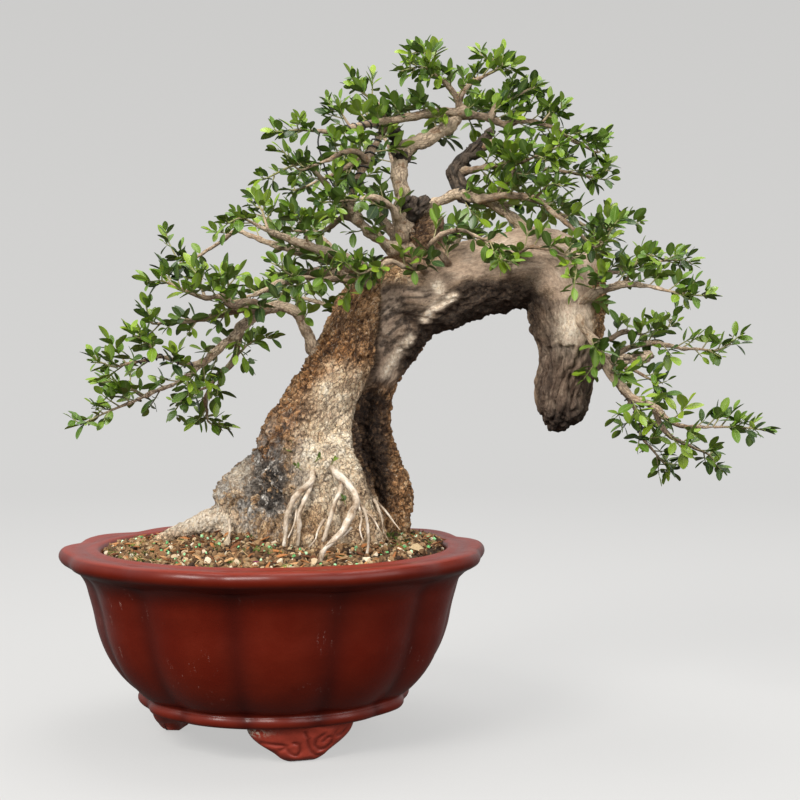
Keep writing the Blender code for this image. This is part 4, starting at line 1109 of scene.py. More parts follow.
class GrowthTree:
    """Puts one Geometry Nodes tree together, and applies it."""

    def __init__(self, name: str, inputs: dict[str, str]) -> None:
        """Starts a tree with a geometry input, these named inputs, and a geometry output.

        Args:
            name: The tree's name.
            inputs: The kind of socket of each further input.
        """
        self.tree = bpy.data.node_groups.new(name, "GeometryNodeTree")
        face = self.tree.interface
        face.new_socket("Geometry", in_out="OUTPUT", socket_type="NodeSocketGeometry")
        face.new_socket("Geometry", in_out="INPUT", socket_type="NodeSocketGeometry")
        for label, kind in inputs.items():
            face.new_socket(label, in_out="INPUT", socket_type="NodeSocket" + kind)
        self.entry = self.tree.nodes.new("NodeGroupInput").outputs
        self.exit = self.tree.nodes.new("NodeGroupOutput").inputs["Geometry"]

    def node(self, kind: str, inputs: dict[str | int, Plug | str | bool], **settings: str) -> bpy.types.Node:
        """A new node with these settings and inputs."""
        made = self.tree.nodes.new(kind)
        for name, value in settings.items():
            setattr(made, name, value)
        for name, value in inputs.items():
            if isinstance(value, Socket):
                self.tree.links.new(value, made.inputs[name])
            else:
                made.inputs[name].default_value = value
        return made

    def stored(self, name: str, kind: str) -> Socket:
        """A value stored on the geometry."""
        return self.node("GeometryNodeInputNamedAttribute", {"Name": name}, data_type=kind).outputs[0]

    def drawn(self, low: Plug, high: Plug, seed: Plug) -> Socket:
        """A random number between two bounds, for each point."""
        return self.node(
            "FunctionNodeRandomValue", {2: low, 3: high, "Seed": seed}, data_type="FLOAT"
        ).outputs[1]

    def apply(self, obj: Piece, values: dict[str, object]) -> Piece:
        """Runs the tree on obj with these input values, and keeps what it makes as obj's plain mesh."""
        modifier = obj.modifiers.new(self.tree.name, "NODES")
        modifier.node_group = self.tree
        for item in self.tree.interface.items_tree:
            if item.item_type == "SOCKET" and item.in_out == "INPUT" and item.name in values:
                modifier[item.identifier] = values[item.name]
        return baked(obj)


def spray_tree() -> GrowthTree:
    """Shoots from lines, and a leaf on every leaf point."""
    made = GrowthTree(
        "olive_spray",
        {
            "Blades": "Collection",
            "Shoot Sides": "Int",
            "Leaf Finish": "Material",
            "Shoot Finish": "Material",
        },
    )
    split = made.node(
        "GeometryNodeSeparateGeometry", {0: made.entry["Geometry"], 1: made.stored("is_leaf", "BOOLEAN")},
        domain="POINT"
    )
    lines = made.node("GeometryNodeMeshToCurve", {"Mesh": split.outputs["Inverted"]})
    ring = made.node(
        "GeometryNodeCurvePrimitiveCircle", {"Resolution": made.entry["Shoot Sides"], "Radius": 1.0}
    )
    shoots = made.node(
        "GeometryNodeCurveToMesh",
        {
            "Curve": lines.outputs[0],
            "Profile Curve": ring.outputs["Curve"],
            "Scale": made.stored("thickness", "FLOAT"),
            "Fill Caps": True,
        },
    )
    barked = made.node(
        "GeometryNodeSetMaterial", {"Geometry": shoots.outputs[0], "Material": made.entry["Shoot Finish"]}
    )
    blades = made.node(
        "GeometryNodeCollectionInfo",
        {0: made.entry["Blades"], "Separate Children": True, "Reset Children": True}
    )
    turn = made.node("FunctionNodeEulerToRotation", {0: made.stored("turn", "FLOAT_VECTOR")})
    leaves = made.node(
        "GeometryNodeInstanceOnPoints",
        {
            "Points": split.outputs["Selection"],
            "Instance": blades.outputs[0],
            "Pick Instance": True,
            "Instance Index": made.stored("cut", "INT"),
            "Rotation": turn.outputs[0],
            "Scale": made.stored("size", "FLOAT_VECTOR"),
        },
    )
    real = made.node("GeometryNodeRealizeInstances", {"Geometry": leaves.outputs[0]})
    green = made.node(
        "GeometryNodeSetMaterial", {"Geometry": real.outputs[0], "Material": made.entry["Leaf Finish"]}
    )
    both = made.tree.nodes.new("GeometryNodeJoinGeometry")
    made.tree.links.new(green.outputs[0], both.inputs[0])
    made.tree.links.new(barked.outputs[0], both.inputs[0])
    made.tree.links.new(both.outputs[0], made.exit)
    return made


def strewn_tree() -> GrowthTree:
    """Small pieces strewn over the open ground, each turned and sized by a seeded draw."""
    made = GrowthTree(
        "strewn_ground",
        {
            "Pieces": "Collection",
            "Spacing": "Float",
            "Density": "Float",
            "Smallest": "Float",
            "Largest": "Float",
            "Tumble": "Float",
            "Lift": "Float",
            "Seed": "Int",
            "Finish": "Material",
        },
    )
    seed = made.entry["Seed"]
    spots = made.node(
        "GeometryNodeDistributePointsOnFaces",
        {
            "Mesh": made.entry["Geometry"],
            "Distance Min": made.entry["Spacing"],
            "Density Max": made.entry["Density"],
            "Density Factor": made.stored("open_ground", "FLOAT"),
            "Seed": seed,
        },
        distribute_method="POISSON",
    )
    lift = made.node("ShaderNodeCombineXYZ", {"Z": made.entry["Lift"]})
    raised = made.node(
        "GeometryNodeSetPosition", {"Geometry": spots.outputs["Points"], "Offset": lift.outputs[0]}
    )
    tinted = made.node(
        "GeometryNodeStoreNamedAttribute",
        {"Geometry": raised.outputs[0], "Name": "tint", "Value": made.drawn(0.0, 1.0, seed)},
        data_type="FLOAT",
        domain="POINT",
    )
    pieces = made.node(
        "GeometryNodeCollectionInfo",
        {0: made.entry["Pieces"], "Separate Children": True, "Reset Children": True}
    )
    index = made.node("FunctionNodeRandomValue", {4: 0, 5: 99, "Seed": seed}, data_type="INT").outputs[2]
    tumble = made.entry["Tumble"]
    lean = made.node("ShaderNodeMath", {0: tumble, 1: -1.0}, operation="MULTIPLY").outputs[0]
    seeds = [
        made.node("ShaderNodeMath", {0: seed, 1: float(shift)}, operation="ADD").outputs[0]
        for shift in (11, 23, 37, 51)
    ]
    turn = made.node(
        "ShaderNodeCombineXYZ",
        {
            0: made.drawn(lean, tumble, seeds[0]), 1: made.drawn(lean, tumble, seeds[1]),
            2: made.drawn(0.0, math.tau, seeds[2])
        },
    )
    strewn = made.node(
        "GeometryNodeInstanceOnPoints",
        {
            "Points": tinted.outputs[0],
            "Instance": pieces.outputs[0],
            "Pick Instance": True,
            "Instance Index": index,
            "Rotation": made.node("FunctionNodeEulerToRotation", {0: turn.outputs[0]}).outputs[0],
            "Scale": made.drawn(made.entry["Smallest"], made.entry["Largest"], seeds[3]),
        },
    )
    real = made.node("GeometryNodeRealizeInstances", {"Geometry": strewn.outputs[0]})
    done = made.node(
        "GeometryNodeSetMaterial", {"Geometry": real.outputs[0], "Material": made.entry["Finish"]}
    )
    made.tree.links.new(done.outputs[0], made.exit)
    return made


def kit(name: str, objects: Iterable[Piece]) -> Kit:
    """A hidden collection of the shapes that a tree repeats."""
    made = bpy.data.collections.new(name)
    for obj in objects:
        for holder in list(obj.users_collection):
            holder.objects.unlink(obj)
        made.objects.link(obj)
    return made


def put_away(*kits: Kit) -> None:
    """Removes shapes that nothing repeats any more."""
    for used in kits:
        for obj in list(used.objects):
            bpy.data.objects.remove(obj)
        bpy.data.collections.remove(used)


# Tree


def gap_to(points: np.ndarray, line: np.ndarray, chunk: int = 8000) -> np.ndarray:
    """How far each point lies outside a tapering tube, in millimetres.

    Args:
        points: The points.
        line: The tube's rows of x, y, z and radius.
        chunk: How many points are measured at a time.

    Returns:
        One distance for each point, negative inside the tube.
    """
    found = []
    for start in range(0, len(points), chunk):
        part = points[start : start + chunk]
        spans = np.linalg.norm(part[:, None, :] - line[None, :, :3], axis=2) - line[None, :, 3]
        found.append(spans.min(axis=1))
    return np.concatenate(found)


def near_place(places: np.ndarray, centre: tuple[float, float], radii: tuple[float, float]) -> np.ndarray:
    """1 at a place on the board, falling to 0 with the distance from it."""
    across = (places[:, 0] - centre[0]) / radii[0]
    down = (places[:, 1] - centre[1]) / radii[1]
    return np.exp(-(across * across + down * down))


def near_line(places: np.ndarray, line: Sequence[tuple[float, float]], radius: float) -> np.ndarray:
    """1 on a line of the board's places, falling to 0 with the distance from it."""
    best = np.full(len(places), 1e9)
    for (x0, y0), (x1, y1) in zip(line, line[1:]):
        span = np.array((x1 - x0, y1 - y0), float)
        offset = places[:, :2] - (x0, y0)
        t = held(offset @ span / (span @ span))
        best = np.minimum(best, np.linalg.norm(offset - t[:, None] * span, axis=1))
    return np.exp(-((best / radius) ** 2))


@dataclass
class Trunk:
    """The leaning trunk, its arch and its hanging head, as one skin."""

    voxel: float = 1.82
    soften: int = 5
    cut_height: float = 158.0
    spine_step: float = 4.0
    body_step: float = 5.0
    body_sides: int = 32
    blending: float = 3.5
    batch: int = 8000
    finish: TrunkFinish = field(default_factory=TrunkFinish)

    BARK_BODIES = (BARK_TRUNK, LEFT_FLARE, LEFT_BASE, FRONT_FLARE, FRONT_RIDGE, BACK_FLARE)
    SPINE = (BARK_TRUNK[0], BARK_TRUNK[2], BARK_TRUNK[4], BARK_TRUNK[6], BARK_TRUNK[8], *ARCH[1:])
    RECESS = ((382, 500), (374, 470), (366, 434), (372, 398), (382, 376))
    BARK_EDGE = (
        (381, 276), (380, 315), (379, 362), (371, 391), (362, 402), (355, 428), (354, 450), (367, 471),
        (375, 490), (388, 512),
    )
    SHADE_EDGE = ((392, 352), (420, 322), (440, 294), (470, 279), (500, 276), (530, 286), (556, 300))
    PALE_STREAKS = (
        ((424, 319), (438, 305), (454, 297)), ((387, 374), (396, 358), (410, 338)), ((437, 286), (439, 289))
    )

    def skin(self) -> Mesh:
        """The trunk's bodies melted into one skin, and cut level under the soil."""
        draft = Draft()
        for rows in (*self.BARK_BODIES, RIGHT_RIB, ARCH, KNOB):
            draft.tube(smooth_route(stations(rows), self.body_step), self.body_sides)
        obj = draft.made("trunk_bodies")
        remesh = obj.modifiers.new("skin", "REMESH")
        remesh.mode = "VOXEL"
        remesh.voxel_size = self.voxel * MM
        soften = obj.modifiers.new("soften", "SMOOTH")
        soften.factor = 0.5
        soften.iterations = self.soften
        baked(obj)
        work = bmesh.new()
        work.from_mesh(obj.data)
        whole = work.verts[:] + work.edges[:] + work.faces[:]
        level = Vector((0.0, 0.0, self.cut_height * MM))
        bmesh.ops.bisect_plane(work, geom=whole, plane_co=level, plane_no=UP, clear_inner=True)
        bmesh.ops.holes_fill(work, edges=[edge for edge in work.edges if edge.is_boundary])
        mesh = bpy.data.meshes.new("old_trunk")
        work.to_mesh(mesh)
        work.free()
        bpy.data.objects.remove(obj)
        return mesh

    def along_grain(self, points: np.ndarray) -> np.ndarray:
        """Each point's offset across the trunk's spine and its distance along it."""
        line = smooth_route(stations(self.SPINE), self.spine_step)
        along, across, up = frames_along(line[:, :3])
        reach = reach_along(line)
        found = []
        for start in range(0, len(points), self.batch):
            part = points[start : start + self.batch]
            spans = np.linalg.norm(part[:, None, :] - line[None, :, :3], axis=2)
            near = spans.argmin(axis=1)
            offset = part - line[near, :3]
            sides = [(offset * way[near]).sum(axis=1) for way in (across, up, along)]
            found.append(np.stack((sides[0], sides[1], reach[near] + sides[2]), axis=1))
        return np.concatenate(found)

    def shares(self, points: np.ndarray) -> tuple[np.ndarray, np.ndarray, np.ndarray]:
        """How much each point belongs to the barked trunk, to the rib, and to the arch."""
        groups = (self.BARK_BODIES, (RIGHT_RIB,), (ARCH, KNOB))
        pulls = []
        for bodies in groups:
            gaps = [gap_to(points, smooth_route(stations(rows), self.spine_step)) for rows in bodies]
            pulls.append(np.exp(-np.minimum.reduce(gaps) / self.blending))
        total = sum(pulls) + 1e-9
        return pulls[0] / total, pulls[1] / total, pulls[2] / total

    def build(self) -> Piece:
        """Builds the piece."""
        mesh = self.skin()
        points, normals = points_of(mesh)
        places = on_board(points)
        across, down = places[:, 0], places[:, 1]
        grain = self.along_grain(points)
        barked, ribbed, arched = self.shares(points)
        underside = ease(-normals[:, 2], -0.05, 0.55)

        # The bark ends at an edge on the near side, and bare wood goes on past it
        front = ease(-normals[:, 1], -0.25, 0.35)
        near_side = front * ease(-points[:, 1], -16.0, 4.0)
        edge = np.interp(down, [row[1] for row in self.BARK_EDGE], [row[0] for row in self.BARK_EDGE])
        seen = ease(-normals[:, 1], -0.8, -0.35) * ease(-points[:, 1], -16.0, 4.0)
        past = (
            ease(across - edge, -1.5, 2.0) * seen * ease(down, 274.0, 292.0) * ease(514.0 - down, 0.0, 12.0)
        )
        past *= 1 - arched * ease(across, 470.0, 500.0)
        upper = past * ease(392.0 - down, -4.0, 14.0)
        # The hollow between the bark's edge and the rib, darkened below as painted shade
        hollow = (
            past * ease(down, 384.0, 400.0) * ease(510.0 - down, 0.0, 14.0) * (1 - ease(across, 385.0, 396.0))
        )
        barked = barked * (1 - past)
        ribbed = np.maximum(ribbed, past - upper)
        arched = np.maximum(arched, upper)

        # Areas of the hanging head, under the arch and at its foot
        torn_down = down + 7.0 * lumps(points, (8.0, 8.0, 5.0), 2, 3.0)
        head = arched * ease(across, 530.0, 552.0)
        low_head = head * ease(torn_down, 344.0, 351.0)
        head_end = head * ease(down, 388.0, 420.0)
        split_side = head * (1 - ease(across, 546.0, 560.0)) * ease(down, 284.0, 306.0)
        inner_head = np.maximum(split_side, head * ease(-normals[:, 0], 0.1, 0.6) * ease(down, 288.0, 318.0))
        # Painted shade under the arch: downward faces, and front faces below the shade edge, are darkened
        shade_at = np.interp(across, [row[0] for row in self.SHADE_EDGE], [row[1] for row in self.SHADE_EDGE])
        shade_at += 5.0 * lumps(grain, (9.0, 9.0, 30.0), 3, 21.0)
        below = ease(down - shade_at, -5.0, 7.0) * front * ease(across, 396.0, 410.0)
        shaded = np.maximum(underside * ease(across, 392.0, 412.0), below)
        under_arch = arched * shaded * (1 - head * ease(down, 296.0, 312.0))
        # Painted shade in the recess along the rib, which is also cut into the skin below
        recess = near_line(places, self.RECESS, 9.0) * near_side * (1 - arched)
        flaky_margin = head * ease(across, 586.0, 598.0) * ease(down, 258.0, 280.0) * (1 - low_head)
        burl = near_place(places, (418.0, 230.0), (34.0, 28.0)) * arched

        # Stains of the bark: rusty at the left and above, cream in front, lichen and black at the foot
        centre = np.interp(
            down, [row[1] for row in reversed(BARK_TRUNK)], [row[0] for row in reversed(BARK_TRUNK)]
        )
        leftness = ease(centre - across, 2.0, 34.0) * ease(500.0 - down, 0.0, 60.0)
        mottle = lumps(points, 22.0, 4, 4.0)
        rust = barked * held(np.maximum(leftness, ease(404.0 - down, 0.0, 60.0)) + 0.5 * mottle)
        rust = np.maximum(rust, ribbed * 0.85)
        creamy = near_place(places, (338.0, 446.0), (42.0, 78.0)) * front * 1.4
        cream = barked * held(creamy + 0.35 * lumps(points, 24.0, 4, 9.0))
        cream = np.maximum(cream, barked * near_place(places, (196.0, 520.0), (36.0, 16.0)) * 1.2)
        lichen = held(near_place(places, (252.0, 484.0), (44.0, 46.0)) * 1.5) * barked
        blotch = held(near_place(places, (268.0, 484.0), (27.0, 42.0)) * 1.3) * barked
        pale = np.maximum.reduce([near_line(places, line, 5.0) for line in self.PALE_STREAKS]) * near_side
        whitened = ((0.95, (190.0, 520.0), (36.0, 15.0)), (0.80, (236.0, 470.0), (13.0, 20.0)))
        for strength, middle, spread in whitened:
            pale = np.maximum(pale, strength * near_place(places, middle, spread) * near_side)
        pale = held(np.maximum(pale, 0.8 * near_place(places, (571.0, 326.0), (17.0, 22.0)) * head) * 1.3)

        # Bare heartwood, stringy rotten wood, what is charred, and painted shade under the arch, in the
        # recess and in the hollow
        heart = arched * (1 - low_head) * ease(across, 398.0, 436.0) * (1 - burl) * (1 - flaky_margin)
        # Under the arch, heartwood gives way to dark strands as painted shade
        heart = np.maximum(heart, upper) * (1 - 0.9 * inner_head) * (1 - 0.6 * under_arch * (1 - pale))
        fibre = held(low_head + 0.9 * inner_head + 0.6 * under_arch * (1 - pale))
        plain = held(1 - heart - fibre)
        streak = ease(lumps(grain, (6.0, 6.0, 44.0), 4, 33.0), -0.05, 0.3)
        # What is darkened: painted shade under the arch, in the hollow and in the recess; char and rot
        # elsewhere
        dark = (
            0.97 * under_arch, 0.92 * head_end, 0.99 * hollow * ease(mottle, -0.8, -0.3), recess,
            inner_head * (0.15 + 0.6 * streak), 0.75 * burl, upper * (0.18 + 0.75 * streak),
            low_head * (0.12 + 0.5 * streak),
        )
        rim = (
            np.exp(-(((across - edge) / 2.2) ** 2)) * near_side * ease(down, 290.0, 310.0)
            * ease(470.0 - down, 0.0, 40.0)
        )
        scorch = held(np.maximum(np.maximum.reduce(dark), 0.9 * rim) * (1 - pale))

        # Plates, flakes and the rest of the relief
        drift = np.stack([4.5 * lumps(points, 13.0, 2, seed) for seed in (61.0, 62.0, 63.0)], axis=1)
        edges, values = plates(grain + drift, (8.5, 8.5, 12.0))
        fine_edges, fine_values = plates(grain + drift, (4.4, 4.4, 5.6), 17.0)
        rough = np.maximum.reduce((rust, flaky_margin, burl, 0.7 * lichen))
        plate = 1.2 * (ease(edges, 0.0, 0.16) - 1) + 1.1 * (values - 0.5)
        flakes = 1.1 * (ease(fine_edges, 0.0, 0.24) - 1) + 2.6 * (fine_values - 0.5)
        rot = strands(grain, (9.0, 9.0, 50.0), 31.0)
        relief = 2.2 * lumps(points, 34.0, 2) + 1.1 * lumps(points, 12.0, 2, 6.0)
        warts = 1.1 * rough * lumps(points, 6.0, 3, 3.0)
        relief += plain * (plate * (1 - 0.7 * rough) + flakes * rough + warts)
        relief += ribbed * 1.4 * lumps(grain, (9.0, 9.0, 36.0), 3, 5.0)
        relief += lichen * (4.2 * lumps(points, 15.0, 3, 51.0) + 1.4 * lumps(points, 5.0, 2, 52.0))
        relief += heart * (0.9 * lumps(grain, (8.0, 8.0, 52.0), 3, 12.0) + 0.5 * lumps(points, 10.0, 2, 8.0))
        strings = 4.6 * (rot - 0.6) + 1.5 * lumps(grain, (5.0, 5.0, 15.0), 3, 7.0)
        relief += held(low_head + 0.6 * inner_head) * strings
        relief += under_arch * (3.6 * lumps(points, 11.0, 3, 41.0) + 1.6 * lumps(points, 4.6, 2, 43.0))
        stub = head_end * (2.4 * lumps(points, 8.0, 3, 14.0) + 3.2)
        relief += stub + burl * 3.0 * lumps(points, 9.0, 3, 44.0)
        relief -= 4.5 * recess + 2.0 * low_head * front + 2.6 * rim
        move_points(mesh, points + normals * relief[:, None])

        # Cracks between the plates, and splits in the bare wood
        crack = 1 - plain * (1 - ease(edges, 0.0, 0.12)) * (1 - rough) * ease(mottle, -0.5, 0.2)
        crack -= plain * rough * (1 - ease(fine_edges, 0.0, 0.18)) * 0.9
        crack -= fibre * (1 - ease(rot, 0.05, 0.42)) * 0.9
        unsplit = ease(np.abs(lumps(grain + drift, (12.0, 12.0, 40.0), 2, 71.0)), 0.0, 0.05)
        crack -= upper * (1 - unsplit) * (1 - pale)
        layers = {
            "wood_space": grain + np.array((400.0, 400.0, 0.0)),
            "plate": held(values * (1 - rough) + fine_values * rough),
            "crack": held(crack),
            "cream": cream,
            "rust": np.maximum(rust, 0.8 * np.maximum(flaky_margin, burl)),
            "pale": pale,
            "black": blotch,
            "lichen": lichen,
            "heart": heart,
            "fibre": fibre,
            "scorch": scorch,
        }
        for name, layer in layers.items():
            put_values(mesh, name, layer)
        mesh.shade_smooth()
        mesh.materials.append(self.finish.build())
        return hand_over(placed("old_trunk", mesh), Slot.BARK, "trunk_and_branches")


class LimbKind(Enum):
    """Kinds of limb, which differ in colour and relief."""

    LIVE = "live"
    CHARRED = "charred"
    DEAD = "dead"
    ROOT = "root"


LIMB_KINDS = {"charred_snag": LimbKind.CHARRED, "right_snag": LimbKind.DEAD, "leader_stub": LimbKind.CHARRED}


# Burnt knots on the hub of the branches
BURNT_KNOTS: tuple[Limb, ...] = (
    ((410, 216, -4, 6.0), (412, 208, -10, 7.0), (414, 201, -12, 5.0)),
    ((416, 214, -4, 6.0), (420, 206, -9, 6.5), (426, 200, -11, 4.0)),
    ((404, 212, -4, 4.0), (405, 205, -9, 4.0), (407, 199, -11, 2.5)),
)

# Where the bare roots come out of the bark
ROOT_STARTS: dict[str, Station] = {
    "root_left_outer": (313, 472, -66, 4.0),
    "root_left_inner": (312, 476, -62, 3.4),
    "root_right_outer": (332, 468, -68, 4.6),
    "root_right_inner": (340, 478, -70, 3.2),
}

# Fine bare rootlets that run down the trunk's foot and over the soil
ROOTLETS: tuple[Limb, ...] = (
    (
        (355, 500, -88, 2.0), (359, 507, -97, 1.6), (361, 518, -103, 1.2), (360, 530, -108, 0.9),
        (363, 541, -110, 0.6)
    ),
    (
        (356, 502, -88, 2.0), (363, 509, -95, 1.5), (371, 516, -98, 1.2), (377, 525, -101, 0.9),
        (381, 533, -103, 0.6)
    ),
    (
        (374, 500, -48, 2.2), (379, 510, -60, 1.5), (382, 519, -64, 1.1), (383, 530, -69, 0.8),
        (388, 540, -73, 0.5)
    ),
    ((376, 502, -46, 2.0), (386, 512, -52, 1.3), (393, 521, -56, 0.9), (400, 530, -60, 0.6)),
    (
        (229, 520, -30, 2.0), (230, 530, -46, 1.6), (229, 540, -54, 1.2), (231, 549, -62, 0.9),
        (237, 555, -66, 0.6)
    ),
    ((230, 534, -48, 1.2), (225, 542, -56, 0.9), (220, 549, -60, 0.5)),
    ((324, 520, -92, 1.4), (318, 530, -98, 1.1), (315, 540, -104, 0.8), (309, 547, -108, 0.5)),
    ((351, 528, -103, 1.5), (343, 536, -112, 1.0), (336, 540, -118, 0.8), (326, 545, -122, 0.5)),
    ((297, 510, -86, 1.2), (294, 524, -92, 0.9), (288, 538, -98, 0.6)),
)


@dataclass
class Limbs:
    """Every branch and surface root, as round knobbly limbs."""

    step: float = 2.4
    collar: float = 9.0
    splinters: int = 15
    wobble_length: float = 12.0
    sway_length: float = 17.0
    slim: dict[LimbKind, float] = field(
        default_factory=lambda: {
            LimbKind.LIVE: 0.86, LimbKind.CHARRED: 1.0, LimbKind.DEAD: 0.9, LimbKind.ROOT: 0.74
        }
    )
    finish: LimbFinish = field(default_factory=LimbFinish)

    def line(self, rows: Sequence[Station], kind: LimbKind) -> np.ndarray:
        """The limb's crooked line, which swells where it leaves its parent and at its joints."""
        line = smooth_route(stations(rows), self.step)
        reach = reach_along(line)
        start = Vector((rows[0][0], rows[0][1], 3.7))
        girth = line[:, 3].copy()
        swell = 0.08 if kind is LimbKind.ROOT else 0.32
        line[:, 3] *= self.slim[kind] * (1 + swell * np.exp(-((reach / self.collar) ** 2)))
        wobbled = [start + Vector((spot / self.wobble_length, 0.0, 0.0)) for spot in reach]
        wobble = np.array([noise.fractal(spot, 1.0, 2.0, 3) for spot in wobbled])
        line[:, 3] *= 1 + 0.26 * wobble
        swayed = [start + Vector((spot / self.sway_length, 5.0, 0.0)) for spot in reach]
        sway = np.array([noise.turbulence_vector(spot, 2, False) for spot in swayed])
        line[:, :3] += sway * np.minimum(0.34 * girth, 2.0)[:, None] * ease(reach, 0.0, 12.0)[:, None]
        return line

    def kind_of(self, name: str) -> LimbKind:
        """Which kind the limb of this name is."""
        return LimbKind.ROOT if name.startswith("root_") else LIMB_KINDS.get(name, LimbKind.LIVE)

    def build_group(self, name: str, wanted: Callable[[str], bool]) -> Piece:
        """Builds the piece of the limbs whose names are wanted."""
        draft = Draft()
        for limb, rows in BRANCHES.items():
            if not wanted(limb):
                continue
            kind = self.kind_of(limb)
            rows = (ROOT_STARTS.get(limb, rows[0]), *rows[1:])
            if limb == "charred_snag":
                rows = tuple((x, y, back, radius * 0.8) for x, y, back, radius in rows)
            widest = max(row[3] for row in rows)
            sides = 22 if widest > 8.5 else 14 if widest > 4.8 else 10
            draft.tube(
                self.line(rows, kind),
                sides,
                old=min(1.0, widest / 7.0) if kind is not LimbKind.ROOT else 0.25,
                rooty=float(kind is LimbKind.ROOT),
                scorch=float(kind is LimbKind.CHARRED),
                green=0.0,
                girth=widest,
                ragged=float(kind in (LimbKind.CHARRED, LimbKind.DEAD)),
            )
        if wanted("charred_snag"):
            knot = {"old": 1.0, "rooty": 0.0, "scorch": 1.0, "green": 0.0, "girth": 9.0, "ragged": 1.0}
            for rows in BURNT_KNOTS:
                draft.tube(smooth_route(stations(rows), 2.0), 18, **knot)
            draw = random.Random("splinters")
            for _ in range(self.splinters):
                first, last = draw.uniform(0.0, 0.45), draw.uniform(0.75, 1.06)
                shift = Vector((draw.uniform(-5.5, 5.5), draw.uniform(-5.0, 5.0), draw.uniform(-1.5, 5.0)))
                route = smooth_route(stations(BRANCHES["charred_snag"]), 3.0)
                reach = route[int(first * len(route)) : int(last * len(route))]
                reach[:, :3] += shift
                reach[:, 3] = np.linspace(draw.uniform(1.8, 3.4), 0.35, len(reach))
                splinter = knot | {"old": 0.6, "scorch": draw.uniform(0.6, 1.0), "girth": 2.0}
                draft.tube(reach, 7, **splinter)
        if wanted("root_"):
            for rows in ROOTLETS:
                values = {"old": 0.2, "rooty": 1.0, "scorch": 0.0, "green": 0.0, "girth": 1.0, "ragged": 0.0}
                draft.tube(self.line(rows, LimbKind.LIVE), 6, **values)
        obj = draft.made(name)
        mesh = obj.data
        points, normals = points_of(mesh)
        girth = np.concatenate(draft.values["girth"])
        ragged = np.concatenate(draft.values["ragged"])
        space = np.concatenate(draft.values["wood_space"])
        knobs = lumps(points, 8.5, 3, 2.0) * np.minimum(0.16 * girth, 1.3)
        tears = (strands(space, (4.0, 4.0, 22.0), 3.0) - 0.55) * 4.6 * ragged * np.minimum(girth / 7.0, 1.0)
        move_points(mesh, points + normals * (knobs + tears)[:, None])
        put_values(mesh, "crack", held(1 - ragged * (1 - ease(tears, -1.6, -0.4))))
        mesh.materials.append(self.finish.build())
        return hand_over(obj, Slot.BARK, "trunk_and_branches")

    def build(self) -> list[Piece]:
        """Builds the branches and the surface roots."""
        return [
            self.build_group("olive_limbs", lambda name: not name.startswith("root_")),
            self.build_group("surface_roots", lambda name: name.startswith("root_")),
        ]


@dataclass(frozen=True)
class BladeCut:
    """One cut of leaf, a unit long: how it droops, folds, twists and how broad it is."""

    name: str
    droop: float
    fold: float
    twist: float
    half_width: float = 0.235
    thickness: float = 0.026
    rings: tuple[float, ...] = (-0.03, 0.08, 0.20, 0.38, 0.58, 0.78, 0.92)

    def width_at(self, t: float) -> float:
        """Half the blade's width this far along it."""
        if t < 0.1:
            return 0.022
        spread = (t - 0.07) / 0.93
        return max(0.024, self.half_width * math.sin(math.pi * spread**1.06) ** 0.66)

    def build(self) -> Piece:
        """Builds the shape, with its own values along, across and under it."""
        points, along, across, under = [], [], [], []
        for t in self.rings:
            width = self.width_at(t)
            turn = self.twist * t
            thick = self.thickness * (1 - 0.6 * abs(t))
            level = -self.droop * max(t, 0.0) ** 2
            cosine, sine = math.cos(turn), math.sin(turn)
            right = (width, self.fold * width, 1.0, 0.0)
            left = (-width, self.fold * width, -1.0, 0.0)
            for y, z, side, below in (right, (0.0, thick / 2, 0.0, 0.0), left, (0.0, -thick / 2, 0.0, 1.0)):
                points.append((t, y * cosine - z * sine, level + y * sine + z * cosine))
                along.append(t)
                across.append(side)
                under.append(below)
        base, tip = len(points), len(points) + 1
        points += [(self.rings[0] - 0.02, 0.0, 0.0), (1.0, 0.0, -self.droop)]
        along += [0.0, 1.0]
        across += [0.0, 0.0]
        under += [0.0, 0.0]
        last = base - 4
        faces: Faces = [(base, (side + 1) % 4, side) for side in range(4)]
        faces += [(tip, last + side, last + (side + 1) % 4) for side in range(4)]
        faces += ring_faces(0, len(self.rings), 4, turned=True)
        mesh = bpy.data.meshes.new(self.name)
        mesh.from_pydata(points, [], faces)
        work = bmesh.new()
        work.from_mesh(mesh)
        bmesh.ops.recalc_face_normals(work, faces=work.faces)
        work.to_mesh(mesh)
        work.free()
        mesh.shade_smooth()
        for edge in mesh.edges:
            edge.use_edge_sharp = all(abs(across[index]) > 0.5 or index >= base for index in edge.vertices)
        for name, values in (("leaf_along", along), ("leaf_across", across), ("leaf_under", under)):
            put_values(mesh, name, np.array(values))
        return placed(self.name, mesh)


BLADE_CUTS = (
    BladeCut("blade_0", 0.07, 0.30, 0.10),
    BladeCut("blade_1", 0.16, 0.16, -0.30, 0.260),
    BladeCut("blade_2", -0.04, 0.42, 0.35, 0.215),
    BladeCut("blade_3", 0.10, 0.22, 0.0, 0.280),
)


def leaf_frame(direction: Vector, twist: float, lift: float) -> tuple[Vector, Vector, Vector]:
    """Axes of a blade: along it, across it, and out of its upper face."""
    along = (direction + UP * lift).normalized()
    side = sideways(along)
    face = side.cross(along).normalized()
    turn = Matrix.Rotation(twist, 3, along)
    return along, turn @ side, turn @ face


@dataclass(frozen=True)
class LeafKit:
    """What every leafy piece is grown with: the tree, the cuts of leaf and the two finishes."""

    tree: GrowthTree
    cuts: Kit
    leaf: Material
    bark: Material


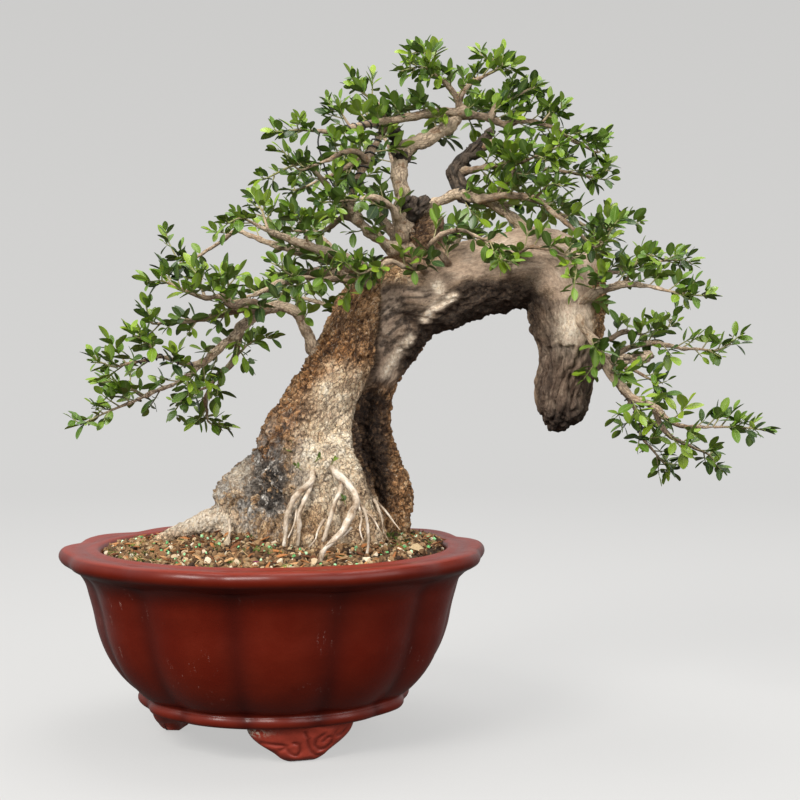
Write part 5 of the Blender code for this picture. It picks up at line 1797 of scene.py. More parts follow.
@dataclass
class Growth:
    """Shoots and leaves of one piece, as lines and points for the spray tree."""

    points: list[Vector] = field(default_factory=list)
    lines: list[tuple[int, int]] = field(default_factory=list)
    values: dict[str, list[float | Triple]] = field(default_factory=dict)

    NOUGHT = (0.0, 0.0, 0.0)
    BLANK = {
        "thickness": 0.0, "green": 0.0, "tint": 0.0, "turn": NOUGHT, "size": NOUGHT, "cut": 0,
        "is_leaf": False
    }
    KINDS = {"cut": "INT", "is_leaf": "BOOLEAN"}

    def put(self, point: Vector, **values: float | Triple) -> None:
        """Adds one point with these values, and with blank ones where none is given."""
        self.points.append(point)
        for name, blank in self.BLANK.items():
            self.values.setdefault(name, []).append(values.get(name, blank))

    def shoot(self, line: np.ndarray, green: tuple[float, float]) -> None:
        """Adds a shoot along rows of x, y, z and radius, whose greenness runs from one value to another."""
        count = len(line)
        for index, (x, y, z, radius) in enumerate(line):
            t = index / max(1, count - 1)
            if index:
                self.lines.append((len(self.points) - 1, len(self.points)))
            self.put(Vector((x, y, z)), thickness=radius * MM, green=green[0] + (green[1] - green[0]) * t)

    def blade(
        self, base: Vector, axes: tuple[Vector, Vector, Vector], length: float, tint: float,
        draw: random.Random
    ) -> None:
        """Adds a leaf."""
        size = (length * MM, length * MM * draw.uniform(0.86, 1.14), length * MM)
        turn = tuple(Matrix(axes).transposed().to_euler())
        tint, cut = min(1.0, max(0.0, tint)), draw.randrange(len(BLADE_CUTS))
        self.put(base, turn=turn, size=size, tint=tint, cut=cut, is_leaf=True)

    def made(self, name: str, leaf_kit: LeafKit) -> Piece:
        """Runs the spray tree over the lines and points."""
        mesh = bpy.data.meshes.new(name)
        mesh.from_pydata([point * MM for point in self.points], self.lines, [])
        for label, values in self.values.items():
            if label in self.KINDS:
                mesh.attributes.new(label, self.KINDS[label], "POINT").data.foreach_set("value", values)
            else:
                put_values(mesh, label, np.array(values))
        put_values(mesh, "wood_space", np.array([tuple(point) for point in self.points]))
        put_values(mesh, "crack", np.ones(len(self.points)))
        obj = placed(name, mesh)
        finishes = {"Leaf Finish": leaf_kit.leaf, "Shoot Finish": leaf_kit.bark}
        leaf_kit.tree.apply(obj, {"Blades": leaf_kit.cuts, "Shoot Sides": 6, **finishes})
        obj.data.shade_smooth()
        return obj


@dataclass
class Spray:
    """One leafy spray, with the stem and the leaves of the CAD part's spray and fine side shoots."""

    name: str
    seat_length: float = 5.0
    seat_radius: float = 1.6
    seat_rise: float = 0.3
    clearance: float = 0.3
    knee: float = 0.42
    tip_radius: float = 0.7
    leaf_length: tuple[float, float] = (14.0, 20.0)
    leaf_lean: tuple[float, float] = (40, 62)
    pair_spacing: float = 15.0
    twig_spacing: float = 6.0

    def __post_init__(self) -> None:
        """Lays out the stem."""
        branch, station, tip = SPRAYS[self.name]
        route = stations(BRANCHES[branch])
        place, radius = route[station]
        self.tip = board(*tip)
        if station == len(route) - 1:
            direction = (place - route[station - 1][0]).normalized()
            self.start = place + direction * self.clearance
            self.root, self.radius = place - direction * 2.0, radius
        else:
            away = (self.tip - place).normalized()
            direction = (away + UP * self.seat_rise).normalized()
            self.start = place + direction * (radius + self.seat_length + self.clearance)
            self.root, self.radius = place, self.seat_radius
        self.length = (self.tip - self.start).length
        self.stem = [self.start, self.start + direction * self.length * self.knee, self.tip]

    def on_stem(self, t: float) -> tuple[Vector, Vector]:
        """The place and direction this share of the way along the stem."""
        spot = t * (len(self.stem) - 1)
        index = min(int(spot), len(self.stem) - 2)
        first, second = self.stem[index], self.stem[index + 1]
        return first.lerp(second, spot - index), (second - first).normalized()

    def grow_known(self, growth: Growth, fine: random.Random) -> None:
        """Grows the leaves that the CAD part has too, by the same draw."""
        draw = random.Random(self.name)
        pairs = max(3, round(self.length / self.pair_spacing))
        turn = draw.uniform(0.0, math.pi)
        for number in range(pairs):
            place, along = self.on_stem(0.30 + 0.62 * number / (pairs - 1))
            flat = sideways(along)
            for side in (0.0, math.pi):
                out = Matrix.Rotation(turn + side, 3, along) @ flat
                lean = math.radians(draw.uniform(*self.leaf_lean))
                heading = (along * math.cos(lean) + out * math.sin(lean)).normalized()
                axes = leaf_frame(heading, draw.uniform(-0.8, 0.8), draw.uniform(0.0, 0.35))
                length = draw.uniform(*self.leaf_length)
                growth.blade(place + axes[0] * 0.3, axes, length, fine.gauss(0.42, 0.2), fine)
            turn += math.pi / 2 + draw.uniform(-0.4, 0.4)
        place, along = self.on_stem(1.0)
        axes = leaf_frame(along, draw.uniform(-0.8, 0.8), draw.uniform(0.0, 0.3))
        growth.blade(place - along * 1.2, axes, draw.uniform(*self.leaf_length), fine.gauss(0.75, 0.12), fine)

    def build(self, leaf_kit: LeafKit) -> Piece:
        """Builds the piece."""
        growth = Growth()
        fine = random.Random(self.name + " fine")
        route = [(self.root, self.radius), (self.start, self.radius * 0.9)]
        route += [(self.stem[1], (self.radius + self.tip_radius) * 0.45), (self.tip, self.tip_radius)]
        growth.shoot(smooth_route(route, 4.0), (0.0, 0.85))
        self.grow_known(growth, fine)
        count = max(5, round(self.length / self.twig_spacing))
        spin = fine.uniform(0.0, math.tau)
        for number in range(count):
            t = 0.10 + 0.86 * number / (count - 1)
            place, along = self.on_stem(t)
            spin += 2.4 + fine.uniform(-0.5, 0.5)
            grow_twig(
                growth, place, along, spin, fine.uniform(9.0, 26.0) * (1 - 0.62 * t), fine, 1.0 - 0.28 * t
            )
        obj = growth.made("leafy_" + self.name, leaf_kit)
        return hand_over(obj, Slot.LEAF, "spray_" + self.name)


def grow_twig(
    growth: Growth, place: Vector, along: Vector, spin: float, length: float, draw: random.Random,
    blade: float = 1.0
) -> None:
    """Grows a short twig with pairs of leaves out of a stem.

    Args:
        growth: What it is added to.
        place: Where it starts.
        along: The stem's direction there.
        spin: The side of the stem that it leaves from.
        length: How long it is, in millimetres.
        draw: The seeded draw.
        blade: How large its leaves are, beside full-grown ones.
    """
    out = Matrix.Rotation(spin, 3, along) @ sideways(along)
    lean = math.radians(draw.uniform(35, 65))
    heading = (along * math.cos(lean) + out * math.sin(lean) + UP * draw.uniform(0.0, 0.3)).normalized()
    elbow = place + heading * length * 0.5
    tip = elbow + (heading + UP * draw.uniform(-0.05, 0.35)).normalized() * length * 0.5
    growth.shoot(smooth_route([(place, 0.85), (elbow, 0.65), (tip, 0.45)], 4.0), (0.35, 1.0))
    age = draw.gauss(0.44, 0.2)
    pairs = 1 if length < 12.0 else 2 if length < 22.0 else 3
    turn = draw.uniform(0.0, math.pi)
    for number in range(pairs):
        t = 0.35 + 0.55 * (number + 0.5) / pairs
        spot = place.lerp(elbow, t * 2) if t < 0.5 else elbow.lerp(tip, t * 2 - 1)
        side = sideways(heading)
        for half in (0.0, math.pi):
            aside = Matrix.Rotation(turn + half, 3, heading) @ side
            open_angle = math.radians(draw.uniform(35, 68))
            leaf_way = (heading * math.cos(open_angle) + aside * math.sin(open_angle)).normalized()
            axes = leaf_frame(leaf_way, draw.uniform(-0.9, 0.9), draw.uniform(0.0, 0.4))
            growth.blade(spot, axes, draw.uniform(11.5, 20.5) * blade, age + draw.gauss(0.0, 0.14), draw)
        turn += math.pi / 2
    axes = leaf_frame((tip - elbow).normalized(), draw.uniform(-0.9, 0.9), draw.uniform(0.0, 0.3))
    growth.blade(tip, axes, draw.uniform(9.0, 18.0) * blade, age + draw.uniform(0.1, 0.4), draw)


@dataclass
class InnerTwigs:
    """Short leafy twigs along the branches between the sprays."""

    spacing: float = 10.5
    sparse_spacing: float = 28.0
    dense_spacing: float = 6.0
    bare: float = 0.16
    thinnest: float = 6.8
    basal: tuple[Triple, ...] = (
        (315, 462, -76), (331, 465, -80), (322, 458, -78), (284, 448, -52), (292, 440, -50),
        (346, 505, -98), (301, 470, -72), (271, 470, -44),
    )

    def build(self, leaf_kit: LeafKit) -> Piece:
        """Builds the piece."""
        growth = Growth()
        draw = random.Random("inner twigs")
        for name, rows in BRANCHES.items():
            if name.startswith("root_") or name in LIMB_KINDS:
                continue
            line = smooth_route(stations(rows), 3.0)
            places = on_board(line[:, :3])
            reach = reach_along(line)
            spot = max(reach[-1] * self.bare, 12.0)
            while spot < reach[-1]:
                index = int(np.searchsorted(reach, spot))
                crowded = places[index, 0] < 340.0 and places[index, 1] < 262.0
                full = 405.0 < places[index, 0] < 565.0 and places[index, 1] < 190.0
                spacing = self.sparse_spacing if crowded else self.dense_spacing if full else self.spacing
                spot += spacing * draw.uniform(0.6, 1.5)
                if line[index, 3] > self.thinnest:
                    continue
                place = Vector(line[index, :3])
                along = Vector(line[index, :3] - line[index - 1, :3]).normalized()
                length = line[index, 3] + draw.uniform(8.0, 26.0)
                grow_twig(growth, place, along, draw.uniform(0.0, math.tau), length, draw)
        forward = Vector((0.0, -1.0, 0.3)).normalized()
        for spot in self.basal:
            grow_twig(growth, board(*spot), forward, draw.uniform(0.0, math.tau), 6.0, draw, 0.38)
        obj = growth.made("inner_twigs", leaf_kit)
        return hand_over(obj, Slot.LEAF, "trunk_and_branches")


@dataclass
class TrainingWires:
    """Black wires that are wound round a few branches to bend them."""

    radius: float = 0.8
    pitch: float = 8.0
    wound: tuple[str, ...] = ("inner_rise", "crown_left", "cascade_inner", "low_left_fork")
    loose: Limb = (
        (320, 131, -55, 0.8), (318, 142, -60, 0.8), (322, 158, -63, 0.8), (328, 176, -60, 0.8),
        (338, 192, -56, 0.8), (347, 206, -50, 0.8),
    )

    def coil(self, name: str) -> np.ndarray:
        """The wire's line round the branch of this name."""
        line = smooth_route(stations(BRANCHES[name]), 1.0)
        _, across, up = frames_along(line[:, :3])
        turn = np.arange(len(line))[:, None] * math.tau / self.pitch
        reach = (line[:, 3] * 0.95 + self.radius)[:, None]
        points = line[:, :3] + reach * (np.cos(turn) * across + np.sin(turn) * up)
        span = slice(len(line) // 6, -len(line) // 8)
        return np.column_stack((points[span], np.full(len(points[span]), self.radius)))

    def build(self) -> Piece:
        """Builds the piece."""
        draft = Draft()
        for name in self.wound:
            draft.tube(self.coil(name), 6)
        draft.tube(smooth_route(stations(self.loose), 3.0), 6)
        wire = PlainFinish("blackened_wire", (0.020, 0.018, 0.017), 0.42)
        return draft.handed("training_wires", wire.build(), Slot.BARK, "trunk_and_branches")


@dataclass
class Foliage:
    """All the leafy sprays and the inner twigs."""

    leaf_finish: LeafFinish = field(default_factory=LeafFinish)
    shoot_finish: LimbFinish = field(default_factory=lambda: LimbFinish("shoot_bark"))

    def build(self) -> list[Piece]:
        """Builds every spray."""
        tree, cuts = spray_tree(), kit("blade_cuts", [cut.build() for cut in BLADE_CUTS])
        leaf_kit = LeafKit(tree, cuts, self.leaf_finish.build(), self.shoot_finish.build())
        made = [Spray(name).build(leaf_kit) for name in SPRAYS]
        made.append(InnerTwigs().build(leaf_kit))
        put_away(cuts)
        return made


# Pot

LOBES = 12
LOBE_PHASE = math.radians(-7.0)
MOUTH_RADIUS = 171.0
RIM_TOP = 189.0
FLOOR_TOP = 52.0
BASE_Z = 34.0
DRAIN_RADIUS = 17.0
CREASE_ROUNDING = 0.22
AXIS = np.array((POT_AXIS_X, 0.0, 0.0))


def lobe_wave(angle: np.ndarray) -> np.ndarray:
    """0 in the rounded crease between two lobes, 1 on a lobe's crown."""
    sine = np.sin(LOBES * (angle - LOBE_PHASE) / 2)
    return (
        (np.sqrt(sine * sine + CREASE_ROUNDING**2) - CREASE_ROUNDING)
        / (math.hypot(1.0, CREASE_ROUNDING) - CREASE_ROUNDING)
    )


@dataclass
class LobedPot:
    """The bowl: twelve lobes, a broad flat rim with a scalloped roll, and a thin band at the base."""

    steps: int = LOBES * 28
    depth_body: float = 6.0
    depth_rim: float = 6.2
    finish: ClayFinish = field(default_factory=ClayFinish)

    OUTSIDE = (
        (172.0, 187.0), (174.0, 188.6), (186.0, 187.6), (196.0, 187.8), (203.0, 188.8), (207.5, 188.0),
        (210.6, 184.8), (211.4, 180.6), (209.6, 176.6), (204.5, 173.0), (198.0, 169.6), (192.0, 164.5),
        (187.0, 157.0), (182.6, 143.0), (179.0, 130.0), (173.0, 104.0), (164.0, 82.0), (150.0, 62.0),
        (139.5, 51.8), (133.0, 47.2), (132.4, 45.8), (133.6, 44.6), (134.8, 42.4), (134.8, 38.6),
        (132.6, 35.4), (128.0, 34.0),
    )
    INSIDE = (
        (108.0, 52.0), (134.0, 66.0), (150.0, 92.0), (160.0, 130.0), (169.0, 180.0), (170.6, 185.0),
        (172.0, 187.0)
    )

    BAND_TOP = 49.0
    BAND_RADIUS = 126.0
    ROLL_BOTTOM = 168.0
    ROLL_RADIUS = 192.0

    def profile(self) -> np.ndarray:
        """The closed outline, as rows of radius and height."""
        outside = smooth_route([(Vector((r, 0.0, z)), 1.0) for r, z in self.OUTSIDE], 2.2)
        bottom = np.array([(r, 0.0, BASE_Z, 1.0) for r in (90.0, 50.0, DRAIN_RADIUS + 1.0)])
        drain = np.array(
            [
                (DRAIN_RADIUS, 0.0, BASE_Z + 1.0, 1.0), (DRAIN_RADIUS, 0.0, FLOOR_TOP - 1.0, 1.0),
                (DRAIN_RADIUS + 1.0, 0.0, FLOOR_TOP, 1.0)
            ]
        )
        floor = np.array([(r, 0.0, FLOOR_TOP, 1.0) for r in (50.0, 85.0)])
        inside = smooth_route([(Vector((r, 0.0, z)), 1.0) for r, z in self.INSIDE], 5.0)[:-1]
        return np.concatenate((outside, bottom, drain, floor, inside))[:, (0, 2)]

    def depth_at(self, radius: np.ndarray, height: np.ndarray) -> np.ndarray:
        """How deep the creases are, in millimetres."""
        fade = held((height - BASE_Z) / 40)
        depth = self.depth_rim + (self.depth_body - self.depth_rim) * fade
        rim = height > RIM_TOP - 20
        depth = np.where(rim, self.depth_rim * held((radius - MOUTH_RADIUS - 6) / 28), depth)
        return np.where(radius < 100.0, 0.0, depth)

    def build(self) -> Piece:
        """Builds the piece."""
        profile = self.profile()
        count = len(profile)
        angles = np.arange(self.steps) * math.tau / self.steps
        radius = np.meshgrid(profile[:, 0], angles)[0]
        height = np.broadcast_to(profile[:, 1], (self.steps, count))
        turn = np.broadcast_to(angles[:, None], (self.steps, count))
        wave = lobe_wave(turn)
        outer = np.broadcast_to((np.arange(count) < self.wall_end(profile))[None, :], wave.shape)
        depth = np.where(outer, self.depth_at(radius, height), 0.0)
        reach = radius - depth * (1 - wave)
        band = outer & (height < self.BAND_TOP) & (radius > self.BAND_RADIUS)
        roll = outer & (height > self.ROLL_BOTTOM) & (radius > self.ROLL_RADIUS)
        rise = np.where(band, 1.6 * (wave - 0.6), 0.0) + np.where(roll, 1.5 * (wave - 0.6), 0.0)
        points = np.stack((reach * np.cos(turn) + POT_AXIS_X, reach * np.sin(turn), height + rise), axis=2)
        points = points.reshape(-1, 3)
        faces = ring_faces(0, self.steps, count, joined=True)
        hand = 0.35 * lumps(points, (60.0, 60.0, 40.0), 2, 1.0)
        radial = points - AXIS
        radial[:, 2] = 0.0
        radial /= np.maximum(np.linalg.norm(radial, axis=1), 1e-6)[:, None]
        # Painted shade in the creases between the lobes
        crease = (1 - wave) ** 3 * held(depth / self.depth_body) * (height < RIM_TOP - 14)
        draft = Draft()
        draft.add(
            points + radial * hand[:, None],
            faces,
            crease=crease.ravel(),
            flat_top=(ease(height, 186.9, 188.2) * outer).ravel(),
            wall=(outer & (height < 176.0) & (height > 50.0)).ravel().astype(float),
            foot_part=(0.15 * band).ravel(),
            crust=np.zeros(height.size),
        )
        return draft.handed("lobed_clay_bowl", self.finish.build(), Slot.CLAY, "pot")

    def wall_end(self, profile: np.ndarray) -> int:
        """The number of the profile's first point under the base."""
        return int(np.argmax((profile[:, 1] <= BASE_Z + 0.01) & (profile[:, 0] < 120.0)))


def near_turn(turn: np.ndarray, degrees: float, width: float) -> np.ndarray:
    """1 at an angle round the pot, falling to 0 within about its width in degrees."""
    off = (np.degrees(turn) - degrees + 180.0) % 360.0 - 180.0
    return np.exp(-((off / width) ** 2))


@dataclass
class CloudFeet:
    """Three feet shaped as clouds, with scrolls pressed into their faces."""

    angles: tuple[float, ...] = (-72.0, 48.0, 168.0)
    bend_radius: float = 110.0
    thickness: float = 28.0
    middle: tuple[float, float] = (0.0, 22.0)
    top: float = 38.5
    tuck: float = 10.0
    flat_share: float = 0.7
    round_share: float = 0.3
    rounding: float = 7.0
    swell: float = 2.6
    groove_width: float = 1.5
    groove_depth: float = 1.7

    HALF = (
        (0.0, 0.0), (12.0, 0.2), (19.0, 2.6), (26.0, 8.0), (34.0, 13.0), (41.0, 18.0), (46.5, 23.5),
        (50.0, 30.0), (50.0, 38.0), (30.0, 38.5), (0.0, 38.5),
    )
    SCROLLS = (
        ((-38.0, 20.5), (-28.5, 18.8), (-19.0, 17.6), (-15.4, 16.6)),
        (
            (-21.0, 13.0), (-16.0, 15.4), (-14.0, 12.0), (-11.8, 9.0), (-6.5, 6.5), (-3.2, 11.0),
            (-4.6, 17.4), (-9.4, 19.4)
        ),
        ((-0.5, 29.0), (2.0, 23.0), (3.6, 16.5), (6.4, 10.0), (10.8, 6.0), (16.0, 5.4)),
        (
            (15.5, 25.5), (10.6, 21.5), (9.6, 15.6), (13.4, 11.0), (19.4, 11.6), (24.4, 16.2), (24.6, 21.6),
            (20.4, 23.2), (17.0, 19.0)
        ),
        ((26.4, 27.0), (29.4, 23.0), (34.0, 23.4), (37.6, 27.6)),
    )

    def outline(self) -> np.ndarray:
        """The foot's closed outline, as rows of its place along and up."""
        half = smooth_route([(Vector((u, 0.0, z)), 1.0) for u, z in self.HALF], 2.4)[:, (0, 2)]
        half[:, 1] = np.clip(half[:, 1], 0.0, self.top)
        mirrored = half[::-1][1:-1] * (-1.0, 1.0)
        return np.concatenate((half, mirrored))

    def groove(self, spots: np.ndarray) -> np.ndarray:
        """How deep the flowing scrolls are pressed in, from 0 to 1."""
        lines = [near_line(spots, line, self.groove_width) for line in self.SCROLLS]
        return np.maximum.reduce(lines)

    def build(self, finish: Material) -> Piece:
        """Builds the piece."""
        outline = self.outline()
        sides = len(outline)
        centre = np.array(self.middle)
        rounded = 1 - self.round_share * np.cos(np.linspace(0.0, math.pi / 2, 9))
        fronts = np.concatenate((np.linspace(0.0, self.flat_share, 14)[1:], rounded[1:]))
        half_thick = self.thickness / 2
        draft = Draft()
        for angle in self.angles:
            rings, offsets = [], []
            for share in fronts:
                spot = centre + (outline - centre) * share
                bulge = math.sqrt(max(0.0, 1 - max(0.0, (share - self.flat_share) / self.round_share) ** 2))
                press = self.groove_depth * self.groove(spot) * bulge
                swell = self.swell * np.cos(spot[:, 0] / 52.0 * math.pi / 2)
                swell += 1.2 * lumps(np.insert(spot, 1, angle, axis=1), 13.0, 2)
                rings.append(spot)
                offsets.append((half_thick - self.rounding) + self.rounding * bulge - press + swell * bulge)
            for share, offset in (
                (1.0, 0.0), (1.0, -half_thick + 2), (0.95, -half_thick), (0.5, -half_thick)
            ):
                rings.append(centre + (outline - centre) * share)
                offsets.append(np.full(sides, offset))
            middle_front = np.array([half_thick + self.swell])
            flat = np.concatenate((centre[None, :], *rings, centre[None, :]))
            out = np.concatenate((middle_front, *offsets, np.array([-half_thick])))
            lean = np.where(out > 0, -self.tuck * (1 - flat[:, 1] / 38.0), 0.0)
            turn = math.radians(angle) + flat[:, 0] / self.bend_radius
            reach = self.bend_radius + out + lean
            points = np.stack(
                (reach * np.cos(turn) + POT_AXIS_X, reach * np.sin(turn), np.maximum(flat[:, 1], 0.0)), axis=1
            )
            faces = [(0, 1 + side, 1 + (side + 1) % sides) for side in range(sides)]
            faces += ring_faces(1, len(rings), sides)
            last = 1 + (len(rings) - 1) * sides
            end = len(points) - 1
            faces += [(end, last + (side + 1) % sides, last + side) for side in range(sides)]
            # Painted shade in the scrolls' grooves
            pressed = self.groove(flat) * (out > 4)
            crust = near_turn(turn, -96.0, 7.0) * ease(flat[:, 1], 24.0, 30.0)
            zero = np.zeros(len(points))
            draft.add(
                points, faces, crease=0.75 * pressed, flat_top=zero, wall=zero, foot_part=zero + 1,
                crust=crust
            )
        return draft.handed("cloud_feet", finish, Slot.CLAY, "pot")


# Ground


SOIL_LEVEL = 184.0
SOIL_MOUND = 27.0
SOIL_GRAIN = 2.2


def soil_height(x: np.ndarray, y: np.ndarray) -> np.ndarray:
    """The soil's surface, from the pot's axis: level at the wall and mounded under the tree."""
    mound = SOIL_MOUND * np.exp(-(((x - 30.0) / 125.0) ** 2 + ((y - 5.0) / 95.0) ** 2))
    grain = np.sin(x * 0.31 + 1.7 * np.sin(y * 0.23)) * np.sin(y * 0.37 + 1.3 * np.sin(x * 0.19))
    return SOIL_LEVEL + mound + SOIL_GRAIN * grain


@dataclass(frozen=True)
class Strewing:
    """One kind of small piece on the soil: how close, how many, how large, and how it lies."""

    name: str
    spacing: float
    density: float
    smallest: float
    largest: float
    tumble: float
    lift: float
    seed: int
    finish: GritFinish


GRIT = GritFinish(
    "baked_grit",
    (
        (0.0, (0.030, 0.016, 0.009)), (0.26, (0.11, 0.060, 0.028)), (0.50, (0.25, 0.150, 0.070)),
        (0.70, (0.17, 0.085, 0.038)), (0.88, (0.38, 0.265, 0.145)), (1.0, (0.58, 0.49, 0.36))
    ),
)
BARK_SCRAP = GritFinish(
    "bark_scraps", ((0.0, (0.10, 0.035, 0.014)), (0.6, (0.34, 0.135, 0.045)), (1.0, (0.48, 0.28, 0.13)))
)
PELLET = GritFinish(
    "feed_pellets",
    (
        (0.0, (0.12, 0.36, 0.12)), (0.58, (0.26, 0.54, 0.26)), (0.78, (0.44, 0.66, 0.42)),
        (1.0, (0.74, 0.76, 0.64))
    ),
    0.6
)
DRY_FIBRE = GritFinish("dry_fibre", ((0.0, (0.13, 0.060, 0.026)), (1.0, (0.42, 0.28, 0.14))))
SOIL_BED = GritFinish("soil_bed", ((0.0, (0.030, 0.017, 0.010)), (1.0, (0.075, 0.045, 0.024))))
LOOSE_PIECE = GritFinish(
    "loose_piece", ((0.0, (0.17, 0.022, 0.075)), (0.5, (0.28, 0.20, 0.11)), (1.0, (0.42, 0.31, 0.175)))
)
MOSS = GritFinish(
    "moss", ((0.0, (0.035, 0.075, 0.012)), (0.6, (0.085, 0.155, 0.022)), (1.0, (0.17, 0.25, 0.05)))
)

STREWN = (
    Strewing("soil_grit", 3.4, 88000.0, 1.7, 3.9, math.pi, 0.9, 5, GRIT),
    Strewing("coarse_grit", 8.0, 11000.0, 3.2, 5.6, math.pi, 2.0, 17, GRIT),
    Strewing("bark_scraps", 9.5, 6500.0, 4.0, 9.5, 0.55, 3.2, 29, BARK_SCRAP),
    Strewing("feed_pellets", 7.0, 9000.0, 1.6, 2.4, math.pi, 3.0, 41, PELLET),
)


STONE_POINTS = 13
MOSS_BLADES = 11
MOSS_BLADE_FOOT = 0.13


def shaped(name: str, work: bmesh.types.BMesh) -> Piece:
    """Places a small shape under this name and frees what it was made in."""
    mesh = bpy.data.meshes.new(name)
    work.to_mesh(mesh)
    work.free()
    return placed(name, mesh)


def stone_shape(name: str, seed: int, squash: Triple) -> Piece:
    """A small angular stone, a unit in radius: the hull of points thrown on a ball."""
    draw = random.Random(seed)
    work = bmesh.new()
    for _ in range(STONE_POINTS):
        point = (
            Vector((draw.gauss(0, 1), draw.gauss(0, 1), draw.gauss(0, 1))).normalized()
            * draw.uniform(0.78, 1.0)
        )
        work.verts.new([value * share for value, share in zip(point, squash)])
    hull = bmesh.ops.convex_hull(work, input=work.verts)
    inner = [item for item in hull["geom_interior"] if isinstance(item, bmesh.types.BMVert)]
    bmesh.ops.delete(work, geom=inner, context="VERTS")
    bmesh.ops.recalc_face_normals(work, faces=work.faces)
    return shaped(name, work)


def moss_shape(name: str, seed: int) -> Piece:
    """A tuft of moss, a unit in radius: short blades that stand out of a small cushion."""
    draw = random.Random(seed)
    work = bmesh.new()
    for _ in range(MOSS_BLADES):
        foot = Vector((draw.gauss(0, 0.42), draw.gauss(0, 0.42), 0.0))
        lean = Vector((foot.x * 0.9, foot.y * 0.9, draw.uniform(0.5, 1.0)))
        spin = draw.uniform(0.0, math.tau)
        ring = []
        for k in range(3):
            turn = spin + k * math.tau / 3
            aside = Vector((MOSS_BLADE_FOOT * math.cos(turn), MOSS_BLADE_FOOT * math.sin(turn), -0.1))
            ring.append(work.verts.new(foot + aside))
        top = work.verts.new(foot + lean)
        for k in range(3):
            work.faces.new((ring[k], ring[(k + 1) % 3], top))
        work.faces.new(reversed(ring))
    return shaped(name, work)


